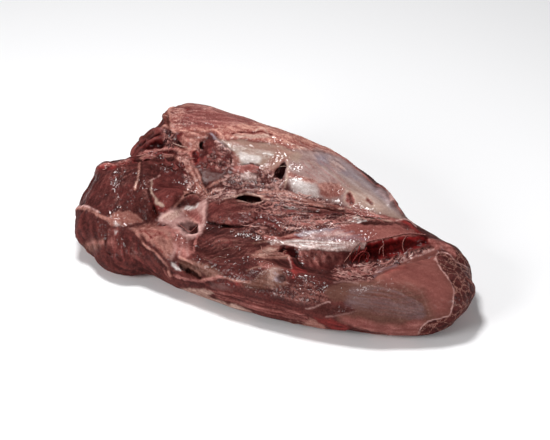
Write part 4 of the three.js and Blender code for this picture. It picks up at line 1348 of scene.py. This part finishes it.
# The relief: torn grains, fibres and soft swellings, in millimetres. It fades out near the table,
# where the meat's own weight presses it flat.
TORN_MEAN = 0.4
PRESSED = 4 * MM
tears, wetness, fibrous = made_of[:, 6], made_of[:, 7], made_of[:, 8]
above_table = step_in(places[:, 2], 0, PRESSED)
grain_height = (tears * (1.3 * (torn - TORN_MEAN) + 0.4 * threads)
                + fibrous * (0.4 * fibres + 0.25 * threads))
grain_height = calm * (grain_height + (0.15 + 0.25 * fibrous + 0.8 * tears) * waves) + 0.5 * swell
height = grain_height * MM + relief * PIXEL
places = places + normals * (height * above_table)[:, None]
places[:, 2] = np.maximum(places[:, 2], 0)
meat.data.vertices.foreach_set("co", places.ravel())
meat.data.update()

# Painted shade and painted light: hollows are darkened, and crests are lightened and drawn towards their
# crest colour. A hump is what stands out of its neighbourhood, in millimetres.
MEAN_CREST = 0.42
MOST_SHADE, MOST_LIGHT = 0.3, 1.3
hump = np.einsum("ij,ij->i", settled(places, 1) - settled(places, 14), normals) / MM
crest = (MEAN_CREST + tears * 0.8 * (torn - TORN_MEAN)
         + (1 - tears) * fibrous * (0.22 * fibres + 0.2 * threads))
crest += 0.12 * swell + 0.3 * hump
shade = np.clip(1 + (0.5 - 0.2 * tears) * hump, MOST_SHADE, MOST_LIGHT)
grainy = np.clip(0.15 + 0.45 * fibrous + 0.6 * tears, 0, 1)
made_of[:, :6] *= shade[:, None]


def left_over(least, share):
    """A share from 0 to 1, of which at least so much is always left."""
    return least + (1 - least) * share


# The film of moisture breaks up, runs off what stands steep, and dries round the outline.
film = wetness * left_over(0.25, step_in(lumps(millimetres, (16, 9, 9), seed=31), -0.1, 0.35))
film *= left_over(0.15, step_in(normals[:, 2], 0.0, 0.55))
film *= left_over(0.08, step_in(facing, 0.15, 0.6))


def paint_points(mesh, made_of, **values):
    """Writes on a mesh what its points are made of, for the material to read."""
    for name, columns in {"hollow": slice(0, 3), "crest_colour": slice(3, 6)}.items():
        paint = mesh.attributes.new(name, "FLOAT_COLOR", "POINT")
        colours = np.hstack([made_of[:, columns], np.ones((len(made_of), 1))])
        paint.data.foreach_set("color", colours.ravel())
    for name, column in values.items():
        mesh.attributes.new(name, "FLOAT", "POINT").data.foreach_set("value", column)


paint_points(meat.data, made_of, crest=crest, torn=tears, wet=film,
             marbled=shown * inside(RAW_END, 1.5), grainy=grainy)

# Where the colours hardly change the mesh is thinned once more, down to the most faces it may have.
PLAIN_SHARE = 0.8
tone = made_of[:, 0:3].sum(axis=1) + made_of[:, 3:6].sum(axis=1)
change = np.zeros(count)
step = np.abs(tone[edges[:, 0]] - tone[edges[:, 1]]) / (tone[edges[:, 0]] + tone[edges[:, 1]])
np.maximum.at(change, edges[:, 0], step)
np.maximum.at(change, edges[:, 1], step)
thin((change < np.quantile(change, PLAIN_SHARE)) & (places[:, 2] > LIES_FLAT), None)

# Rebuilding the mesh left a few crumbs loose. Only what hangs together with the heel's tip stays.
only(meat)
tip = int(read(meat.data.vertices, "co")[:, 0].argmax())
bpy.ops.object.mode_set(mode="EDIT")
bpy.ops.mesh.select_all(action="DESELECT")
bpy.ops.object.mode_set(mode="OBJECT")
meat.data.vertices[tip].select = True
bpy.ops.object.mode_set(mode="EDIT")
bpy.ops.mesh.select_linked()
bpy.ops.mesh.select_all(action="INVERT")
bpy.ops.mesh.delete(type="VERT")
bpy.ops.object.mode_set(mode="OBJECT")
bpy.ops.object.shade_smooth()

# Strands and shreds. Thin strings of gristle and muscle that a knife left across the holes, and
# torn shreds where the seams were pulled open, laid over the meat as a piece of their own.
RINGS = 7
SIDES = 5
DEEPEST_STEP = 5 * MM
SPREAD = 0.3
SHRED_FLAT = 0.45
skin = surface(meat)
tubes = []


def add_tube(tissue, route, outs, radii, flat, tone):
    """Keeps a closed tube to be made: its places, the meat's normals there, its half widths, how flat
    it is, and its tone from hollow to crest."""
    tubes.append((tissue, np.array(route), np.array(outs), np.array(radii), flat, tone))


def shred_route(middle, length, angle, bend, rise):
    """A short arched route over the meat through a pixel, or nothing where the meat falls away."""
    route, outs = [], []
    for share in np.linspace(-0.5, 0.5, RINGS):
        turn = angle + bend * share
        pixel = (middle[0] + length * share * cos(turn), middle[1] - length * share * sin(turn))
        place, out, _, reach = skin.ray_cast(camera.location, sight(pixel))
        if place is None or (route and (place - camera.location).length - last > DEEPEST_STEP):
            return None, None
        last = (place - camera.location).length
        route.append(place + out * (rise * (1 - 6 * share ** 2) * PIXEL))
        outs.append(out)
    return route, outs


def pixels_inside(corners, number, draw):
    """So many random pixels inside an outline."""
    outline = np.array(corners, float)
    found = []
    while len(found) < number:
        spot = outline.min(0) + draw.random(2) * (outline.max(0) - outline.min(0))
        if enclosed(spot[None], outline)[0]:
            found.append(spot)
    return found


for kind, name, tissue, size, lie, corners in work:
    if kind == "string":
        route = on_meat(skin, corners, lie * PIXEL, 0.7)
        outs = [skin.find_nearest(place)[1] for place in route]
        radii = spindle_radii(len(route), size * PIXEL, 0.6)
        radii *= 1 + 0.3 * np.sin(1.7 * np.arange(len(route)) + len(name))
        add_tube(tissue, route, outs, radii, 1, 0.5)
    elif kind == "shreds":
        chance = np.random.default_rng(sum(name.encode()))
        number, length, half, rise = size
        for spot in pixels_inside(corners, number, chance):
            vary = chance.normal(size=5)
            angle = radians(lie[0] + lie[1] * 0.6 * vary[0])
            long, wide, high = np.array((length, half, rise)) * np.exp(SPREAD * vary[[1, 2, 4]])
            route, outs = shred_route(spot, long, angle, 0.6 * vary[3], high)
            if route:
                add_tube(tissue, route, outs, spindle_radii(RINGS, wide * PIXEL, 0.25),
                         SHRED_FLAT, float(np.clip(0.5 + 0.22 * vary[3], 0.1, 0.9)))

points, faces, stuffs, tones = [], [], [], []
for tissue, route, outs, radii, flat, tone in tubes:
    ahead = np.gradient(route, axis=0)
    ahead /= np.linalg.norm(ahead, axis=1)[:, None] + 1e-9
    side = np.cross(ahead, outs)
    side /= np.linalg.norm(side, axis=1)[:, None] + 1e-9
    out = np.cross(side, ahead)
    first = sum(len(ring) for ring in points)
    turn = np.linspace(0, 2 * pi, SIDES, endpoint=False)
    for step in range(len(route)):
        points.append(route[step] + radii[step] * (np.cos(turn)[:, None] * side[step]
                                                   + flat * np.sin(turn)[:, None] * out[step]))
    for step in range(len(route) - 1):
        for k in range(SIDES):
            a, b = first + step * SIDES + k, first + step * SIDES + (k + 1) % SIDES
            faces.append((a, b, b + SIDES, a + SIDES))
    faces.append(tuple(range(first + SIDES - 1, first - 1, -1)))
    faces.append(tuple(range(first + (len(route) - 1) * SIDES, first + len(route) * SIDES)))
    stuffs += [stuff(tissue)] * (len(route) * SIDES)
    tones += [tone] * (len(route) * SIDES)
shred_mesh = bpy.data.meshes.new("torn_shreds")
shred_mesh.from_pydata(np.vstack(points).tolist(), [], faces)
torn_shreds = bpy.data.objects.new("torn_shreds", shred_mesh)
bpy.context.scene.collection.objects.link(torn_shreds)
own = np.array(stuffs)
paint_points(shred_mesh, own, crest=np.array(tones), torn=0.3 * own[:, 6], wet=own[:, 7],
             marbled=np.zeros(len(own)), grainy=np.full(len(own), 0.5))
only(torn_shreds)
bpy.ops.object.mode_set(mode="EDIT")
bpy.ops.mesh.select_all(action="SELECT")
bpy.ops.mesh.normals_make_consistent(inside=False)
bpy.ops.object.mode_set(mode="OBJECT")
bpy.ops.object.shade_smooth()

# Raw beef, freshly cut: matt red muscle under a broken film of moisture, so it glints in small
# wet points. Its skin is finely grained, its torn muscle granular, and the marbling of the raw end
# is a net of fat about eleven millimetres wide.
NET = 11 * MM
NET_LINE = 0.045
MARBLING = "#a8786c"
GRAIN = 2.2 * MM
FINE_GRAIN = 1.0 * MM
GRANULE = 1.7 * MM
BEAD = 3.0 * MM
BEAD_HEIGHT = 1.6 * MM
SKIN_HEIGHT = 0.9 * MM
raw_beef = new_material("raw beef, freshly cut")
tree = raw_beef.node_tree
spot = node(tree, "TexCoord").outputs["Object"]


def painted(name, socket="Fac"):
    return node(tree, "Attribute", attribute_name=name).outputs[socket]


def scaled(value, low, high, share=None):
    """A noise value turned into a range, faded by a painted share."""
    ranged = node(tree, "MapRange", {"From Min": 0.3, "From Max": 0.7, "To Min": low, "To Max": high},
                  {"Value": value})
    if share is None:
        return ranged.outputs[0]
    return node(tree, "Math", links={0: ranged.outputs[0], 1: share}, operation="MULTIPLY").outputs[0]


grainy_share = painted("grainy")
fine = node(tree, "TexNoise", {"Scale": 1 / GRAIN, "Detail": 3, "Roughness": 0.65}, {"Vector": spot})
finer = node(tree, "TexNoise", {"Scale": 1 / FINE_GRAIN, "Detail": 2}, {"Vector": spot})
fine_tone = scaled(fine.outputs["Fac"], -0.4, 0.4, grainy_share)
crest_sum = node(tree, "Math", links={0: painted("crest"), 1: fine_tone}, operation="ADD")
crest_mix = node(tree, "MapRange", {"From Min": 0.15, "From Max": 0.85}, {"Value": crest_sum.outputs[0]},
                 interpolation_type="SMOOTHSTEP")
flesh = node(tree, "Mix", data_type="RGBA")
tree.links.new(crest_mix.outputs[0], flesh.inputs["Factor"])
tree.links.new(painted("hollow", "Color"), flesh.inputs[6])
tree.links.new(painted("crest_colour", "Color"), flesh.inputs[7])
finer_tone = scaled(finer.outputs["Fac"], -0.3, 0.3, grainy_share)
light = node(tree, "Math", {1: 1.0}, {0: finer_tone}, operation="ADD")
lit_flesh = node(tree, "VectorMath", links={0: flesh.outputs[2], 1: light.outputs[0]}, operation="MULTIPLY")
net_bend = node(tree, "VectorMath", {1: (0.7 * NET,) * 3}, {0: fine.outputs["Color"]}, operation="MULTIPLY")
net_spot = node(tree, "VectorMath", links={0: spot, 1: net_bend.outputs[0]}, operation="ADD")
net = node(tree, "TexVoronoi", {"Scale": 1 / NET}, {"Vector": net_spot.outputs[0]},
           feature="DISTANCE_TO_EDGE")
net_line = node(tree, "MapRange", {"From Min": 0.0, "From Max": NET_LINE, "To Min": 0.85, "To Max": 0},
                {"Value": net.outputs["Distance"]})
net_mask = node(tree, "Math", links={0: net_line.outputs[0], 1: painted("marbled")}, operation="MULTIPLY")
marbled_flesh = node(tree, "Mix", data_type="RGBA")
marbled_flesh.inputs[7].default_value = rgba(MARBLING)
tree.links.new(net_mask.outputs[0], marbled_flesh.inputs["Factor"])
tree.links.new(lit_flesh.outputs[0], marbled_flesh.inputs[6])
gloss = node(tree, "MapRange", {"To Min": 0.55, "To Max": 0.3}, {"Value": painted("wet")})
granules = node(tree, "TexVoronoi", {"Scale": 1 / GRANULE}, {"Vector": spot})
granule_height = node(tree, "Math", links={0: granules.outputs["Distance"], 1: painted("torn")},
                      operation="MULTIPLY")
fine_height = node(tree, "Math", links={0: fine.outputs["Fac"], 1: grainy_share}, operation="MULTIPLY")
skin_bump = node(tree, "Bump", {"Strength": 0.6, "Distance": SKIN_HEIGHT},
                 {"Height": fine_height.outputs[0]})
grain_bump = node(tree, "Bump", {"Strength": 0.9, "Distance": SKIN_HEIGHT},
                  {"Height": granule_height.outputs[0], "Normal": skin_bump.outputs[0]}, invert=True)
beads = node(tree, "TexNoise", {"Scale": 1 / BEAD, "Detail": 0.0}, {"Vector": spot})
film_height = node(tree, "Math", links={0: beads.outputs["Fac"], 1: grainy_share}, operation="MULTIPLY")
film_bump = node(tree, "Bump", {"Strength": 1.0, "Distance": BEAD_HEIGHT},
                 {"Height": film_height.outputs[0]})
body = node(tree, "BsdfPrincipled",
            {"IOR": 1.12, "Specular IOR Level": 0.15, "Coat Roughness": 0.06, "Coat IOR": 1.5},
            {"Base Color": marbled_flesh.outputs[2], "Roughness": gloss.outputs[0],
             "Coat Weight": painted("wet"), "Normal": grain_bump.outputs[0],
             "Coat Normal": film_bump.outputs[0]})
tree.links.new(body.outputs[0], tree.nodes["Material Output"].inputs["Surface"])
for piece in (meat, torn_shreds):
    piece.data.materials.clear()
    piece.data.materials.append(raw_beef)
    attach(piece, "root")
    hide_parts("beef_clod")
